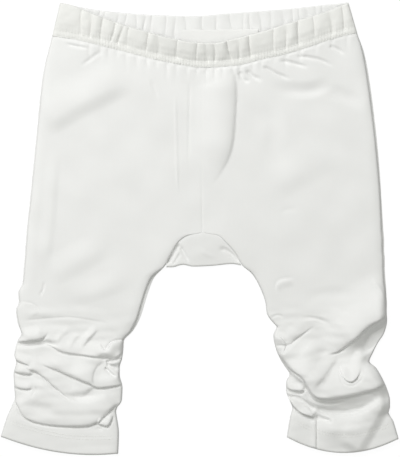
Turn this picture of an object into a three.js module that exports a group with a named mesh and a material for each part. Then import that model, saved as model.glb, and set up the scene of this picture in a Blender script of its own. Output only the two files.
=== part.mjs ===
// Baby leggings in white cotton jersey, laid flat with the front up.
// Millimetres, +Z up. +Y points to the waist and +X to the right of a viewer above.
// The back lies flat on the surface, the front lies on it, and each piece is its own closed wall.

import * as THREE from 'three';

// Cloth and seams
const CLOTH = 1.2;            // one layer of jersey
const BAND_CLOTH = 2.0;       // waistband: folded jersey over elastic
const HEM_CLOTH = 2.1;        // turned leg hem: two layers
const LABEL_CLOTH = 1.0;      // woven label with its folded edges
const SEAM_GAP = 0.3;         // clear space between pieces at a seam
const STEEPEST = 3.2;         // most that a slope may thicken the wall, as a factor

// Heights of the stacked layers
const FRONT_REST = CLOTH + SEAM_GAP;
const HEM_REST = HEM_CLOTH + SEAM_GAP;
const LABEL_REST = BAND_CLOTH + SEAM_GAP;
const BAND_REST = LABEL_REST + LABEL_CLOTH + SEAM_GAP;
const BAND_END_DROP = BAND_REST - LABEL_REST;
const EDGE_TOP = FRONT_REST + CLOTH;

// Rounding of the laid cloth at its edges, and its forms
const EDGE_ROLL = 7;          // width over which a panel rises from its folded side
const BAND_ROLL = 4;          // the same at the ends of the waistband
const BAND_HEIGHT = 17;       // waistband, from its fold to its seam
const BACK_SPREAD = 1.04;     // widening of the back band from its fold to its seam
const HEM_CROWN = 0.9;        // rise of the front hem between its sides

// Grid of a panel: places of the columns next to an edge, in millimetres from it
const EDGE_COLUMNS = [0, 0.9, 2.6, 5];
const HEM_COLUMNS = 18;
const BACK_COLUMNS = 10;
const NARROWEST_DROP = 2.6;   // a fold's steep side is never narrower than this in the solids
const LEAST_RISE = 0.4;       // a trough never sinks the front lower than this over its edge

// The waist seam's curve in the rows below it
const WAIST_REACH = 2;        // stations over which it dies away

// Rows of the hems and bands: share of the way down, and how far the surface is lifted
const HEM_ROWS = [[0, 0], [0.35, 0], [0.7, 0], [0.92, 0], [1, -0.5]];
const FRONT_BAND_ROWS = [[0, -0.9], [0.07, -0.15], [0.3, 0], [0.6, 0], [0.9, -0.1], [1, -0.4]];
const BACK_BAND_ROWS = [[0, -0.8], [0.1, 0], [0.45, 0], [1, 0]];
const BACK_SEAM_STEPS = 12;   // steps across the top of a back panel

// Gusset
const GUSSET_TIP = 0.32;      // stations left out at each pointed end
const GUSSET_FOLD_ENDS = [-23.4, 28.6];
const BEND_OUTER = 1.5;       // depth of the fold's rounding outside and inside
const BEND_INNER = 0.35;
const BEND_ANGLES = [60, 25, -25, -60].map(THREE.MathUtils.degToRad);
const GUSSET_FACE_SHARES = [0, 0.3, 0.6, 0.85, 1];
const GUSSET_EDGE_LIFT = 0.2; // rise of the gusset at its fold over a panel's edge

const { clamp, lerp, smoothstep } = THREE.MathUtils;

// Turns rows of plain values into rows with named columns
function table(columns, rows) {
  return rows.map((row) => Object.fromEntries(columns.map((name, i) => [name, row[i]])));
}

// Waist lines, seen from above: x, y
const FRONT_TOP = [
  [-98, 158.2], [-92, 157.2], [-76, 151], [-54.5, 143], [-37.5, 138], [-20.5, 133.5],
  [-3.5, 130.5], [9, 130], [22, 132.5], [41.5, 137.5], [62.5, 144], [84, 150.5], [104, 158.2],
];
const FRONT_SEAM = [
  [-103.5, 135], [-87, 132.5], [-70, 128.5], [-56, 125], [-37, 120], [-21, 116.5],
  [2, 113], [26, 114.5], [42, 118.5], [58, 122], [75, 127], [91, 132.5], [110, 137.5],
];
const BACK_TOP = [
  [-98, 158.6], [-80, 154.5], [-70, 153], [-44, 150.5], [-24.5, 149.5], [-7, 149],
  [21, 151], [42, 152.5], [66.5, 154.5], [84, 156.5], [104, 158.6],
];
// Lower edge of the crotch, where the gusset folds to the back
const CROTCH_FOLD = [
  [-24.5, -27], [-19.5, -27], [-12, -25.3], [-4.5, -26.5], [8, -26], [22.5, -24.7], [29.5, -25.8],
];

// Cross lines of the two leg panels, from the waist to the hem's turned edge.
// outer and inner: ends of the line. bow: how far its middle hangs lower.
// crown: rise of the cloth above its side edge. innerRoll: 0 at a flat seam, 1 at a rolled side.
// backOut, backIn: how far the back shows past the front at each end.
// rows: steps down to the next line. columns: steps across.
const STATION_COLUMNS = [
  'outerX', 'outerY', 'innerX', 'innerY', 'bow', 'crown', 'innerRoll', 'backOut', 'backIn',
  'rows', 'columns',
];
const LEFT_STATIONS = table(STATION_COLUMNS, [
  [-103.5, 135.0, 1.1, 113.0, 0.0, 2.0, 0.00, 0.0, 0, 3, 22],    // waist seam
  [-106.0, 125.0, 1.1, 104.0, 0.0, 2.1, 0.00, 0.3, 0, 3, 18],
  [-110.0, 105.5, 1.1, 84.5, 0.0, 2.1, 0.00, 0.5, 0, 4, 18],     // hip
  [-114.5, 62.0, 1.1, 51.5, 0.0, 2.0, 0.00, 0.5, 0, 3, 16],      // seat
  [-118.5, 21.5, 1.3, 18.0, 0.0, 2.0, 0.00, 0.5, 0, 2, 16],
  [-121.0, -1.0, 1.6, -2.0, 0.0, 2.0, 0.05, 0.5, 0, 2, 16],      // top of the gusset
  [-121.5, -8.0, -8.5, -4.5, 0.0, 2.0, 0.15, 0.5, 0, 2, 16],
  [-122.0, -15.0, -14.5, -8.5, 0.0, 2.0, 0.35, 0.5, 0, 2, 16],
  [-122.5, -22.0, -20.5, -18.0, 0.0, 2.0, 0.60, 0.5, 0, 2, 16],
  [-123.0, -27.5, -24.5, -26.0, 0.0, 2.0, 0.85, 0.5, 0, 2, 16],  // end of the gusset
  [-124.0, -38.0, -34.0, -34.0, 0.0, 2.0, 1.00, 0.5, 2.0, 1, 16],
  [-127.0, -45.0, -38.0, -43.0, 0.0, 2.0, 1.00, 0.5, 2.2, 1, 16],
  [-126.5, -51.5, -41.0, -52.5, 0.0, 2.0, 1.00, 0.5, 2.2, 1, 16],
  [-128.5, -57.0, -44.0, -62.5, 0.0, 2.0, 1.00, 0.5, 2.0, 2, 16], // knee
  [-127.5, -65.5, -48.5, -71.5, 0.0, 2.0, 1.00, 0.4, 1.5, 2, 18],
  [-125.0, -73.5, -54.0, -78.5, 0.0, 2.0, 1.00, 0.2, 0.6, 1, 22],
  [-127.5, -78.0, -54.0, -83.0, 0.0, 2.0, 1.00, 0.2, 0.4, 4, 22],
  [-130.0, -88.5, -55.0, -92.0, 0.5, 2.0, 1.00, 0.2, 0.2, 2, 22],
  [-128.5, -93.5, -56.5, -96.5, 1.0, 2.0, 1.00, 0.2, 0.2, 3, 22],
  [-130.5, -101.5, -56.5, -102.5, 1.5, 2.0, 1.00, 0.2, 0.2, 4, 22],
  [-130.0, -111.5, -54.5, -111.0, 2.5, 2.0, 1.00, 0.2, 0.2, 3, 22],
  [-129.5, -118.5, -55.0, -120.5, 3.5, 1.9, 1.00, 0.2, 0.2, 2, 22],
  [-131.5, -123.5, -59.0, -127.5, 4.5, 1.8, 1.00, 0.2, 0.2, 4, 22],
  [-135.0, -131.5, -57.0, -143.0, 5.4, 1.6, 1.00, 0.2, 0.2, 3, 18], // hem stitching
  [-139.5, -145.5, -57.5, -157.5, 5.2, 1.2, 1.00, 0.2, 0.2, 0, 18], // hem edge
]);
const RIGHT_STATIONS = table(STATION_COLUMNS, [
  [110.0, 137.5, 1.4, 113.0, 0.0, 2.0, 0.00, 0.3, 0, 3, 22],     // waist seam
  [113.9, 125.0, 1.4, 104.0, 0.0, 2.1, 0.00, 0.7, 0, 3, 18],
  [117.4, 105.5, 1.4, 84.5, 0.0, 2.1, 0.00, 1.1, 0, 4, 18],      // hip
  [122.9, 62.0, 1.4, 51.5, 0.0, 2.0, 0.00, 1.1, 0, 3, 16],       // seat
  [126.4, 21.5, 1.6, 18.0, 0.0, 2.0, 0.00, 0.7, 0, 2, 16],
  [127.4, -1.0, 1.9, -2.0, 0.0, 2.0, 0.05, 1.1, 0, 2, 16],       // top of the gusset
  [127.9, -8.0, 12.0, -4.5, 0.0, 2.0, 0.15, 1.1, 0, 2, 16],
  [127.9, -15.0, 19.0, -10.5, 0.0, 2.0, 0.35, 1.1, 0, 2, 16],
  [128.4, -20.5, 25.0, -17.5, 0.0, 2.0, 0.60, 1.1, 0, 2, 16],
  [128.4, -27.0, 29.5, -25.5, 0.0, 2.0, 0.85, 1.1, 0, 2, 16],    // end of the gusset
  [128.9, -36.5, 36.5, -31.5, 0.0, 2.0, 1.00, 1.1, 0.2, 2, 16],
  [129.9, -45.0, 43.0, -43.0, 0.0, 2.0, 1.00, 0.7, 0.2, 1, 16],
  [130.0, -52.0, 46.0, -52.0, 0.0, 2.0, 1.00, 1.0, 0.2, 1, 16],
  [130.5, -58.5, 47.0, -59.5, 0.0, 2.0, 1.00, 0.4, 0.2, 2, 18],  // knee
  [131.0, -64.5, 52.0, -66.5, 0.0, 2.0, 1.00, 0.2, 0.2, 2, 22],
  [129.0, -73.0, 54.0, -69.0, 0.0, 2.0, 1.00, 0.2, 0.2, 2, 22],
  [124.5, -80.0, 51.5, -74.5, 0.0, 2.0, 1.00, 0.2, 0.2, 3, 22],
  [121.0, -87.0, 53.0, -83.0, 0.5, 2.0, 1.00, 0.2, 0.2, 2, 22],
  [118.5, -93.0, 56.0, -90.5, 1.0, 2.0, 1.00, 0.2, 0.2, 2, 22],
  [123.0, -97.0, 60.0, -97.0, 1.5, 2.0, 1.00, 0.2, 0.2, 3, 22],
  [127.5, -104.5, 63.0, -102.0, 2.5, 2.0, 1.00, 0.2, 0.2, 2, 22],
  [130.5, -111.0, 60.5, -107.5, 4.0, 2.0, 1.00, 0.2, 0.2, 3, 22],
  [133.0, -120.0, 60.5, -113.5, 6.0, 2.0, 1.00, 0.2, 0.2, 3, 22],
  [133.0, -125.0, 63.5, -121.5, 8.0, 1.9, 1.00, 0.2, 0.2, 2, 22],
  [132.0, -129.0, 65.0, -126.0, 9.5, 1.8, 1.00, 0.2, 0.2, 2, 22],
  [135.0, -134.0, 63.5, -131.0, 10.5, 1.6, 1.00, 0.2, 0.2, 3, 18], // hem stitching
  [139.0, -147.0, 61.0, -146.0, 10.5, 1.2, 1.00, 0.2, 0.2, 0, 18], // hem edge
]);
const GUSSET_FIRST = 5;       // stations between which the gusset is let in
const GUSSET_LAST = 9;

// Folds of the cloth. A lip stands up steeply from its line and fades on the line's left,
// a ridge is round, and a crease is a trough.
// height: rise, or depth of a crease. reach: width to the left. drop: width to the right.
// fadeIn, fadeOut: shares of the length over which it starts and dies away.
const FOLD_COLUMNS = ['kind', 'height', 'reach', 'drop', 'fadeIn', 'fadeOut', 'path'];
const LEFT_FOLDS = table(FOLD_COLUMNS, [
  // tiers of the gathered lower leg
  ['lip', 2.8, 11, 1.0, 0.3, 0.05, [[-129, -78.5], [-105, -82], [-96.5, -86.5], [-84, -88.5], [-53, -91]]],
  ['lip', 3.6, 9, 2.4, 0, 0.35, [[-129, -80.5], [-120.5, -79], [-110.5, -76.5], [-105, -71.5]]],
  ['lip', 3.4, 13, 0.9, 0.25, 0, [[-115, -92.5], [-89.5, -104], [-70.5, -111.5], [-54, -109.5]]],
  ['lip', 2.6, 11, 0.9, 0.2, 0.4, [[-126, -94.5], [-111, -103], [-91.5, -119], [-82.5, -123.5]]],
  ['lip', 3.6, 22, 0.9, 0.08, 0.08,
    [[-131, -118], [-124.5, -131], [-116, -135.5], [-82, -138.5], [-67, -131.5], [-56, -121.5]]],
  // short folds at the outer side
  ['lip', 1.9, 6, 1, 0, 0.4, [[-131, -92.5], [-124.5, -94], [-118, -96]]],
  ['lip', 1.9, 6, 1, 0, 0.3, [[-131.5, -100.5], [-122, -102], [-115.5, -102]]],
  ['lip', 1.6, 6, 1, 0, 0.3, [[-131, -111], [-122.5, -112.5], [-116, -112]]],
  // round end of the second tier, and puckers beside it
  ['crease', 2.4, 3.2, 2.4, 0.15, 0.15, [[-64, -90.5], [-70, -100.5], [-72, -106]]],
  ['crease', 1.6, 1.6, 1.6, 0.2, 0, [[-68, -94.5], [-62.5, -93], [-55.5, -92]]],
  ['crease', 1.6, 1.5, 1.5, 0.2, 0, [[-69.5, -97], [-64.5, -100], [-57.5, -101.5]]],
  ['lip', 2, 6, 1.2, 0.1, 0.3, [[-53, -78], [-61, -79], [-65.5, -83], [-69.5, -78.5]]],
  ['ridge', 1.6, 5, 2.6, 0.25, 0.3, [[-83.5, -82], [-75.5, -73.5], [-71.5, -69]]],
  ['crease', 0.9, 5, 5, 0.35, 0.35, [[-91, -115], [-82.5, -118], [-72, -117]]],
  ['lip', 1.8, 5, 1, 0.1, 0.2, [[-73, -136.5], [-65, -138.5], [-60, -130]]],
  // slack of the body and thigh
  ['ridge', 2.1, 22, 12, 0.2, 0.3, [[-112, 72], [-84, 88.5], [-45, 107]]],
  ['ridge', 0.6, 8, 5, 0.2, 0.3, [[-108.5, -27.5], [-104.5, 9.5], [-101.5, 56.5]]],
  ['ridge', 1.1, 14, 11, 0.2, 0.35, [[-108, -33], [-84, -21.5], [-60, -8]]],
  ['ridge', 0.7, 12, 8, 0.3, 0.35, [[-98, -50], [-76.5, -44.5], [-47, -35]]],
]);
const RIGHT_FOLDS = table(FOLD_COLUMNS, [
  // tiers of the gathered lower leg: a lip, the slope under it and its trough
  ['lip', 5, 20, 1.2, 0.2, 0, [[88, -89], [102, -82.5], [116, -70.5], [131.5, -61.5]]],
  ['ridge', 3.4, 4, 9, 0.35, 0, [[98, -86.5], [110.5, -77], [122, -68], [132, -63]]],
  ['crease', 2.4, 5, 6, 0, 0.3, [[130, -68], [123, -74.5], [110, -88]]],
  ['lip', 6, 22, 1.2, 0.05, 0,
    [[53, -86.5], [63, -99], [71, -104.5], [78.5, -116.5], [97, -118.5], [132.5, -106.5]]],
  ['ridge', 3.8, 4, 9.5, 0.2, 0.1, [[77, -115.5], [97, -119.5], [132.5, -107.5]]],
  ['crease', 2.6, 5, 2.6, 0.2, 0.3, [[78, -122.5], [94, -127], [106, -126.5], [127, -116.5]]],
  ['lip', 1.8, 9, 1.8, 0, 0.4, [[49.5, -81.5], [62, -81], [68, -76.5], [82.5, -66.5]]],
  ['ridge', 1.3, 8, 5, 0, 0.4, [[53, -86], [68, -86.5], [95, -81]]],
  ['lip', 1.3, 7, 1.1, 0.25, 0.35, [[96.5, -94], [98, -99.5], [104.5, -106.5], [117, -93.5]]],
  ['ridge', 1.7, 6, 6, 0.25, 0.4, [[113, -74], [115, -82], [105, -103]]],
  ['ridge', 1.3, 9, 4, 0.2, 0.3, [[78.5, -110], [86, -102], [96.5, -86.5]]],
  ['ridge', 3.6, 12, 5, 0.1, 0.2, [[131, -117], [112, -132], [101.5, -134], [84, -130]]],
  ['ridge', 3.6, 20, 6, 0.15, 0.1, [[109, -157], [115, -144], [129, -119.5]]],
  ['ridge', 2.2, 5, 10, 0.3, 0.25, [[88, -143], [100, -146], [112, -144]]],
  // folds at the inner side
  ['lip', 1.5, 5, 0.9, 0, 0.2, [[59, -110], [63.5, -114.5], [75.5, -115.5]]],
  ['lip', 1.5, 4, 0.9, 0, 0.2, [[59.5, -118], [69.5, -119.5], [77.5, -126], [82, -131]]],
  ['lip', 2.2, 6, 0.9, 0, 0.15, [[62.5, -121.5], [66, -126], [73, -130], [81, -132.5]]],
  ['lip', 1.2, 5, 1, 0.1, 0.3, [[59.5, -86.5], [60, -80.5], [53, -73.5]]],
  ['lip', 0.8, 5, 1.1, 0.3, 0.3, [[66.5, -34.5], [58, -35.5], [53.5, -44.5]]],
  ['crease', 0.9, 2.2, 2.2, 0.3, 0.35, [[69.5, -62.5], [85.5, -64], [91.5, -67]]],
  // pleat beside the centre, and slack of the body
  ['ridge', 2, 12, 3.6, 0.35, 0.15, [[20, 62], [24.5, 90], [21.5, 112]]],
  ['ridge', 1.6, 14, 6, 0.3, 0.35, [[5, 23], [16.5, 47], [24, 80]]],
  ['ridge', 1, 20, 14, 0.3, 0.35, [[42, 27], [63, 37], [99.5, 56.5]]],
  ['crease', 1.7, 8, 6, 0.4, 0.4, [[50, 101], [66, 96.5], [96, 104]]],
  ['crease', 1.2, 8, 7, 0.4, 0.4, [[84, 98], [98, 94], [116, 86]]],
]);
const GUSSET_FOLDS = table(FOLD_COLUMNS, [
  ['crease', 0.8, 1.5, 1.5, 0.1, 0.1, [[-14.5, -10.5], [-18, -16.5], [-22, -24]]],
  ['crease', 0.8, 1.6, 1.6, 0.2, 0.2, [[17, -15.5], [22, -17.5], [27.5, -23.5]]],
]);

// Gathers of the waistband: x at its top, x at its foot, depth
const FRONT_GATHERS = [
  [-82, -84, 0.7], [-76, -77.5, 0.8], [-67.5, -69.5, 0.7], [-59, -64, 0.9], [-53.5, -58, 1.0],
  [-49, -51.5, 0.6], [-36.5, -37, 1.1], [-28, -30.5, 0.4], [-15, -16.5, 0.8], [-2, -2, 0.5],
  [5, 4.5, 0.8], [9.5, 10.5, 0.9], [19.5, 23, 1.1], [26, 28, 0.6], [34.5, 37, 1.1],
  [52, 52, 0.6], [60, 60, 0.6], [69, 70, 1.1], [78.5, 81, 0.5], [91, 92.5, 0.9],
  [99, 103, 1.0],
];
const BACK_GATHERS = [
  -80, -75, -70, -66, -57.5, -51, -44, -38.5, -33, -24, -16.5, -10, 2, 11, 21.5, 30, 35, 41.5,
  49.5, 57.5, 64, 69.5, 74.5, 80, 85.5, 93,
].map((x, i) => [x, i % 3 === 1 ? 0.7 : 0.5]);
const GATHER_HALF_WIDTH = 1.2;
const GATHER_PUFF = 0.35;     // rise of the cloth between two gathers, as a share of their depth
const GATHER_SHOULDER = 0.25; // fall beside a gather, as a share of its depth

// Label behind the waist, sewn to the back band
const LABEL = { left: -13.3, right: 40.6, top: 139.2, bottom: 124.5, slant: 0.012 };

// A smooth line through a short table: cubic pieces that never pass beyond their two ends
function smoothLine(at, values) {
  const last = at.length - 1;
  const rates = at.slice(1).map((place, i) => (values[i + 1] - values[i]) / (place - at[i]));
  const slopes = at.map((_, i) => {
    if (i === 0) return rates[0];
    if (i === last) return rates[last - 1];
    const [before, after] = [rates[i - 1], rates[i]];
    return before * after <= 0 ? 0 : (2 * before * after) / (before + after);
  });
  return (wanted) => {
    const x = clamp(wanted, at[0], at[last]);
    const i = Math.min(at.filter((place) => place <= x).length - 1, last - 1);
    const span = at[i + 1] - at[i];
    const s = (x - at[i]) / span;
    const bend = span * s * (1 - s) * ((1 - s) * slopes[i] - s * slopes[i + 1]);
    return lerp(values[i], values[i + 1], s * s * (3 - 2 * s)) + bend;
  };
}

const BACK_SEAM = BACK_TOP.map(([x, y]) => [x * BACK_SPREAD, y - BAND_HEIGHT]);

const lineOf = (points) => smoothLine(points.map((p) => p[0]), points.map((p) => p[1]));
const frontTopY = lineOf(FRONT_TOP);
const frontSeamY = lineOf(FRONT_SEAM);
const backTopY = lineOf(BACK_TOP);
const backSeamY = lineOf(BACK_SEAM);
const crotchFoldY = lineOf(CROTCH_FOLD);

// Quarter-round rise from an edge: 0 at the edge, 1 from the roll's width inwards
function roundRise(distance, width) {
  const s = clamp(distance / width, 0, 1);
  return Math.sqrt(1 - (1 - s) * (1 - s));
}

// Folds as functions of a place on the cloth
const FOLD_STEPS = 16;

function prepareFold(fold) {
  const curve = new THREE.SplineCurve(fold.path.map(([x, y]) => new THREE.Vector2(x, y)));
  return { ...fold, line: curve.getSpacedPoints(FOLD_STEPS) };
}

// Nearest place on a fold's line: signed distance, left positive, and share of the length
function nearestOnLine(line, x, y) {
  let best = { distance: Infinity };
  for (let i = 0; i < line.length - 1; i += 1) {
    const a = line[i];
    const dx = line[i + 1].x - a.x;
    const dy = line[i + 1].y - a.y;
    const s = clamp(((x - a.x) * dx + (y - a.y) * dy) / (dx * dx + dy * dy), 0, 1);
    const offX = x - a.x - s * dx;
    const offY = y - a.y - s * dy;
    const distance = Math.hypot(offX, offY);
    if (distance < best.distance) {
      const side = dx * offY - dy * offX >= 0 ? 1 : -1;
      best = { distance, side, share: (i + s) / (line.length - 1) };
    }
  }
  return best;
}

function foldHeight(fold, x, y) {
  const { distance, side, share } = nearestOnLine(fold.line, x, y);
  const drop = Math.max(fold.drop, NARROWEST_DROP);
  if (distance > (side > 0 ? fold.reach : drop)) return 0;
  const fades = (fold.fadeIn ? smoothstep(share, 0, fold.fadeIn) : 1)
    * (fold.fadeOut ? smoothstep(1 - share, 0, fold.fadeOut) : 1);
  if (fold.kind !== 'lip') {
    const round = 0.5 + 0.5 * Math.cos(Math.PI * distance / (side > 0 ? fold.reach : drop));
    return (fold.kind === 'crease' ? -1 : 1) * fold.height * fades * round;
  }
  const crest = fold.reach / 4;
  const across = side * distance;
  if (across < crest) return fold.height * fades * roundRise(across + drop, crest + drop);
  return fold.height * fades
    * (0.5 + 0.5 * Math.cos(Math.PI * (across - crest) / (fold.reach - crest)));
}

const foldsHeight = (folds, x, y) => folds.reduce((sum, fold) => sum + foldHeight(fold, x, y), 0);

// A closed wall between an outer and an inner surface, both given as rows of points.
// Neighbouring rows may have different numbers of points: they are joined by their shares.
function wall(outerRows, innerRows) {
  const positions = [];
  const triangles = [];
  const addRow = (row) => row.map((point, i) => {
    positions.push(point.x, point.y, point.z);
    return { index: positions.length / 3 - 1, share: i / (row.length - 1) };
  });
  const join = (a, b, flip) => {
    let i = 0;
    let j = 0;
    while (i < a.length - 1 || j < b.length - 1) {
      const stepA = j === b.length - 1 || (i < a.length - 1 && a[i + 1].share <= b[j + 1].share);
      const third = stepA ? a[i + 1] : b[j + 1];
      const corners = [a[i].index, b[j].index, third.index];
      triangles.push(...(flip ? corners.reverse() : corners));
      if (stepA) i += 1;
      else j += 1;
    }
  };
  const outer = outerRows.map(addRow);
  const inner = innerRows.map(addRow);
  for (let r = 0; r < outer.length - 1; r += 1) {
    join(outer[r], outer[r + 1], false);
    join(inner[r], inner[r + 1], true);
  }
  const last = outer.length - 1;
  join(outer[0], inner[0], true);
  join(outer[last], inner[last], false);
  const side = (rows, end) => rows.map((row, i) => ({
    index: row[end ? row.length - 1 : 0].index, share: i / last,
  }));
  join(side(outer, false), side(inner, false), false);
  join(side(outer, true), side(inner, true), true);
  const geometry = new THREE.BufferGeometry();
  geometry.setAttribute('position', new THREE.Float32BufferAttribute(positions, 3));
  geometry.setIndex(triangles);
  if (signedVolume(positions, triangles) < 0) geometry.setIndex(turned(triangles));
  return geometry;
}

function signedVolume(positions, triangles) {
  const corner = (i) => new THREE.Vector3().fromArray(positions, 3 * i);
  let volume = 0;
  for (let t = 0; t < triangles.length; t += 3) {
    const [a, b, c] = [0, 1, 2].map((k) => corner(triangles[t + k]));
    volume += a.dot(b.cross(c)) / 6;
  }
  return volume;
}

function turned(triangles) {
  return triangles.map((_, i) => triangles[i - (i % 3) + 2 - (i % 3)]);
}

// Places across a row, as shares of its width, closer together at both edges
function columnShares(width, columns) {
  const near = EDGE_COLUMNS.map((offset) => offset / width);
  const middle = columns - 2 * near.length + 2;
  const first = near[near.length - 1];
  const between = Array.from({ length: middle - 1 }, (_, i) => (
    lerp(first, 1 - first, (i + 1) / middle)));
  return [...near, ...between, ...near.map((share) => 1 - share).reverse()];
}

// Cross lines of a leg panel at any place between two stations
function panelLines(stations) {
  const at = stations.map((_, i) => i);
  const value = Object.fromEntries(STATION_COLUMNS.map((name) => (
    [name, smoothLine(at, stations.map((station) => station[name]))])));
  return (place) => Object.fromEntries(STATION_COLUMNS.map((name) => [name, value[name](place)]));
}

// Steps down a panel, from one station to another, in station numbers
function rowPlaces(stations, first, last) {
  const places = [];
  for (let i = first; i < last; i += 1) {
    const { rows } = stations[i];
    for (let step = 0; step < rows; step += 1) places.push(i + step / rows);
  }
  return [...places, last];
}

// How far the waist seam lies above the straight line between its two ends
function seamSag({ outerX, outerY, innerX, innerY }, x) {
  const share = clamp((x - outerX) / (innerX - outerX), 0, 1);
  return frontSeamY(x) - lerp(outerY, innerY, share);
}

// Place on a panel, seen from above. The top rows follow the waist seam.
function panelPoint(stations, line, place, share) {
  const x = lerp(line.outerX, line.innerX, share);
  const straight = lerp(line.outerY, line.innerY, share);
  const follow = place < WAIST_REACH ? (1 - place / WAIST_REACH) ** 2 : 0;
  const sag = seamSag(stations[0], x) * follow;
  return { x, y: straight + sag - 4 * line.bow * share * (1 - share) };
}

// Height of the front's outer surface
function frontHeight(line, folds, point, share) {
  const width = Math.hypot(line.innerX - line.outerX, line.innerY - line.outerY);
  const outerRise = roundRise(share * width, EDGE_ROLL);
  const innerRise = 1 - line.innerRoll * (1 - roundRise((1 - share) * width, EDGE_ROLL));
  const rise = line.crown + foldsHeight(folds, point.x, point.y);
  return EDGE_TOP + Math.max(rise, LEAST_RISE) * outerRise * innerRise;
}

// Rows of outer points become rows of inner points, one cloth lower and never under the rest
function innerRowsOf(rows, slopeAt, thickness, rest) {
  return rows.map((row) => row.map((point) => {
    const drop = thickness * Math.min(slopeAt(point), STEEPEST);
    return { x: point.x, y: point.y, z: Math.max(point.z - drop, rest) };
  }));
}

// Slope factor of a height function, from two short steps
const SLOPE_STEP = 0.6;
function slopeFactor(height, point) {
  const dx = (height(point.x + SLOPE_STEP, point.y) - height(point.x - SLOPE_STEP, point.y));
  const dy = (height(point.x, point.y + SLOPE_STEP) - height(point.x, point.y - SLOPE_STEP));
  return Math.hypot(1, dx / (2 * SLOPE_STEP), dy / (2 * SLOPE_STEP));
}

function frontPanel(stations, foldTable) {
  const folds = foldTable.map(prepareFold);
  const lineAt = panelLines(stations);
  const hemTop = stations.length - 2;
  const rows = rowPlaces(stations, 0, hemTop).map((place) => {
    const line = lineAt(place);
    const width = Math.abs(line.innerX - line.outerX);
    return columnShares(width, Math.round(line.columns)).map((share) => {
      const point = panelPoint(stations, line, place, share);
      return { ...point, z: frontHeight(line, folds, point, share) };
    });
  });
  const slope = (point) => slopeFactor((x, y) => foldsHeight(folds, x, y), point);
  return wall(rows, innerRowsOf(rows, slope, CLOTH, FRONT_REST));
}

// The hidden back: a flat layer with the front's outline, let out where the photo shows it
function backPanel(stations, side) {
  const lineAt = panelLines(stations);
  const hemTop = stations.length - 2;
  const places = Array.from({ length: 2 * hemTop + 1 }, (_, i) => i / 2)
    .filter((place) => Number.isInteger(place) || (place > GUSSET_FIRST && place < GUSSET_LAST));
  const outline = places.map((place) => {
    const line = lineAt(place);
    line.outerX += side * line.backOut;
    line.innerX -= side * line.backIn;
    const width = Math.hypot(line.innerX - line.outerX, line.innerY - line.outerY);
    const shares = line.bow ? columnShares(width, BACK_COLUMNS) : [0, 0.5, 1];
    if (place > 0) return shares.map((share) => panelPoint(stations, line, place, share));
    const corner = BACK_SEAM.at(side < 0 ? 0 : -1)[0];
    return Array.from({ length: BACK_SEAM_STEPS + 1 }, (_, i) => {
      const x = lerp(corner, line.innerX, i / BACK_SEAM_STEPS);
      return { x, y: backSeamY(x) - SEAM_GAP };
    });
  });
  return wall(...[CLOTH, 0].map((z) => outline.map((row) => row.map((point) => ({ ...point, z })))));
}

// Turned hem of one layer of a leg, between the last two stations
function hem(stations, folds, rest, crown, side) {
  const lineAt = panelLines(stations);
  const lastStation = stations.length - 1;
  const top = lineAt(lastStation - 1);
  top.outerY -= SEAM_GAP;
  top.innerY -= SEAM_GAP;
  const bottom = lineAt(lastStation);
  const prepared = folds.map(prepareFold);
  const rows = HEM_ROWS.map(([depth, lift]) => {
    const line = Object.fromEntries(STATION_COLUMNS.map((name) => (
      [name, lerp(top[name], bottom[name], depth)])));
    if (!rest) {
      line.outerX += side * line.backOut;
      line.innerX -= side * line.backIn;
    }
    const width = Math.hypot(line.innerX - line.outerX, line.innerY - line.outerY);
    return columnShares(width, rest ? HEM_COLUMNS : BACK_COLUMNS).map((share) => {
      const point = panelPoint(stations, line, lastStation, share);
      const sides = roundRise(share * width, EDGE_ROLL) * roundRise((1 - share) * width, EDGE_ROLL);
      const fold = rest ? Math.max(foldsHeight(prepared, point.x, point.y), 0) : 0;
      return { ...point, z: rest + HEM_CLOTH + (crown + fold) * sides + lift };
    });
  });
  const inner = rows.map((row) => row.map((point) => ({
    ...point, z: rest ? Math.max(point.z - HEM_CLOTH, rest) : 0,
  })));
  return wall(rows, inner);
}

// Columns of a gathered band: at each gather, beside it, and on the crest between two gathers
function gatherColumns(gathers, ends) {
  const columns = [{ top: ends.topLeft, foot: ends.footLeft, rise: 0 }];
  const first = { top: ends.topLeft + 3, foot: ends.footLeft + 3, rise: 0 };
  columns.push({ top: ends.topLeft + 1, foot: ends.footLeft + 1, rise: 0 }, first);
  gathers.forEach(([top, foot, depth], i) => {
    const before = columns[columns.length - 1];
    const puff = GATHER_PUFF * Math.max(depth, i ? gathers[i - 1][2] : 0);
    const left = {
      top: top - GATHER_HALF_WIDTH, foot: foot - GATHER_HALF_WIDTH, rise: -GATHER_SHOULDER * depth,
    };
    columns.push({
      top: (before.top + left.top) / 2, foot: (before.foot + left.foot) / 2, rise: puff,
    });
    columns.push(left, { top, foot, rise: -depth });
    columns.push({ ...left, top: top + GATHER_HALF_WIDTH, foot: foot + GATHER_HALF_WIDTH });
  });
  columns.push({ top: ends.topRight - 2, foot: ends.footRight - 2, rise: 0 });
  columns.push({ top: ends.topRight, foot: ends.footRight, rise: 0 });
  return columns;
}

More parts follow.
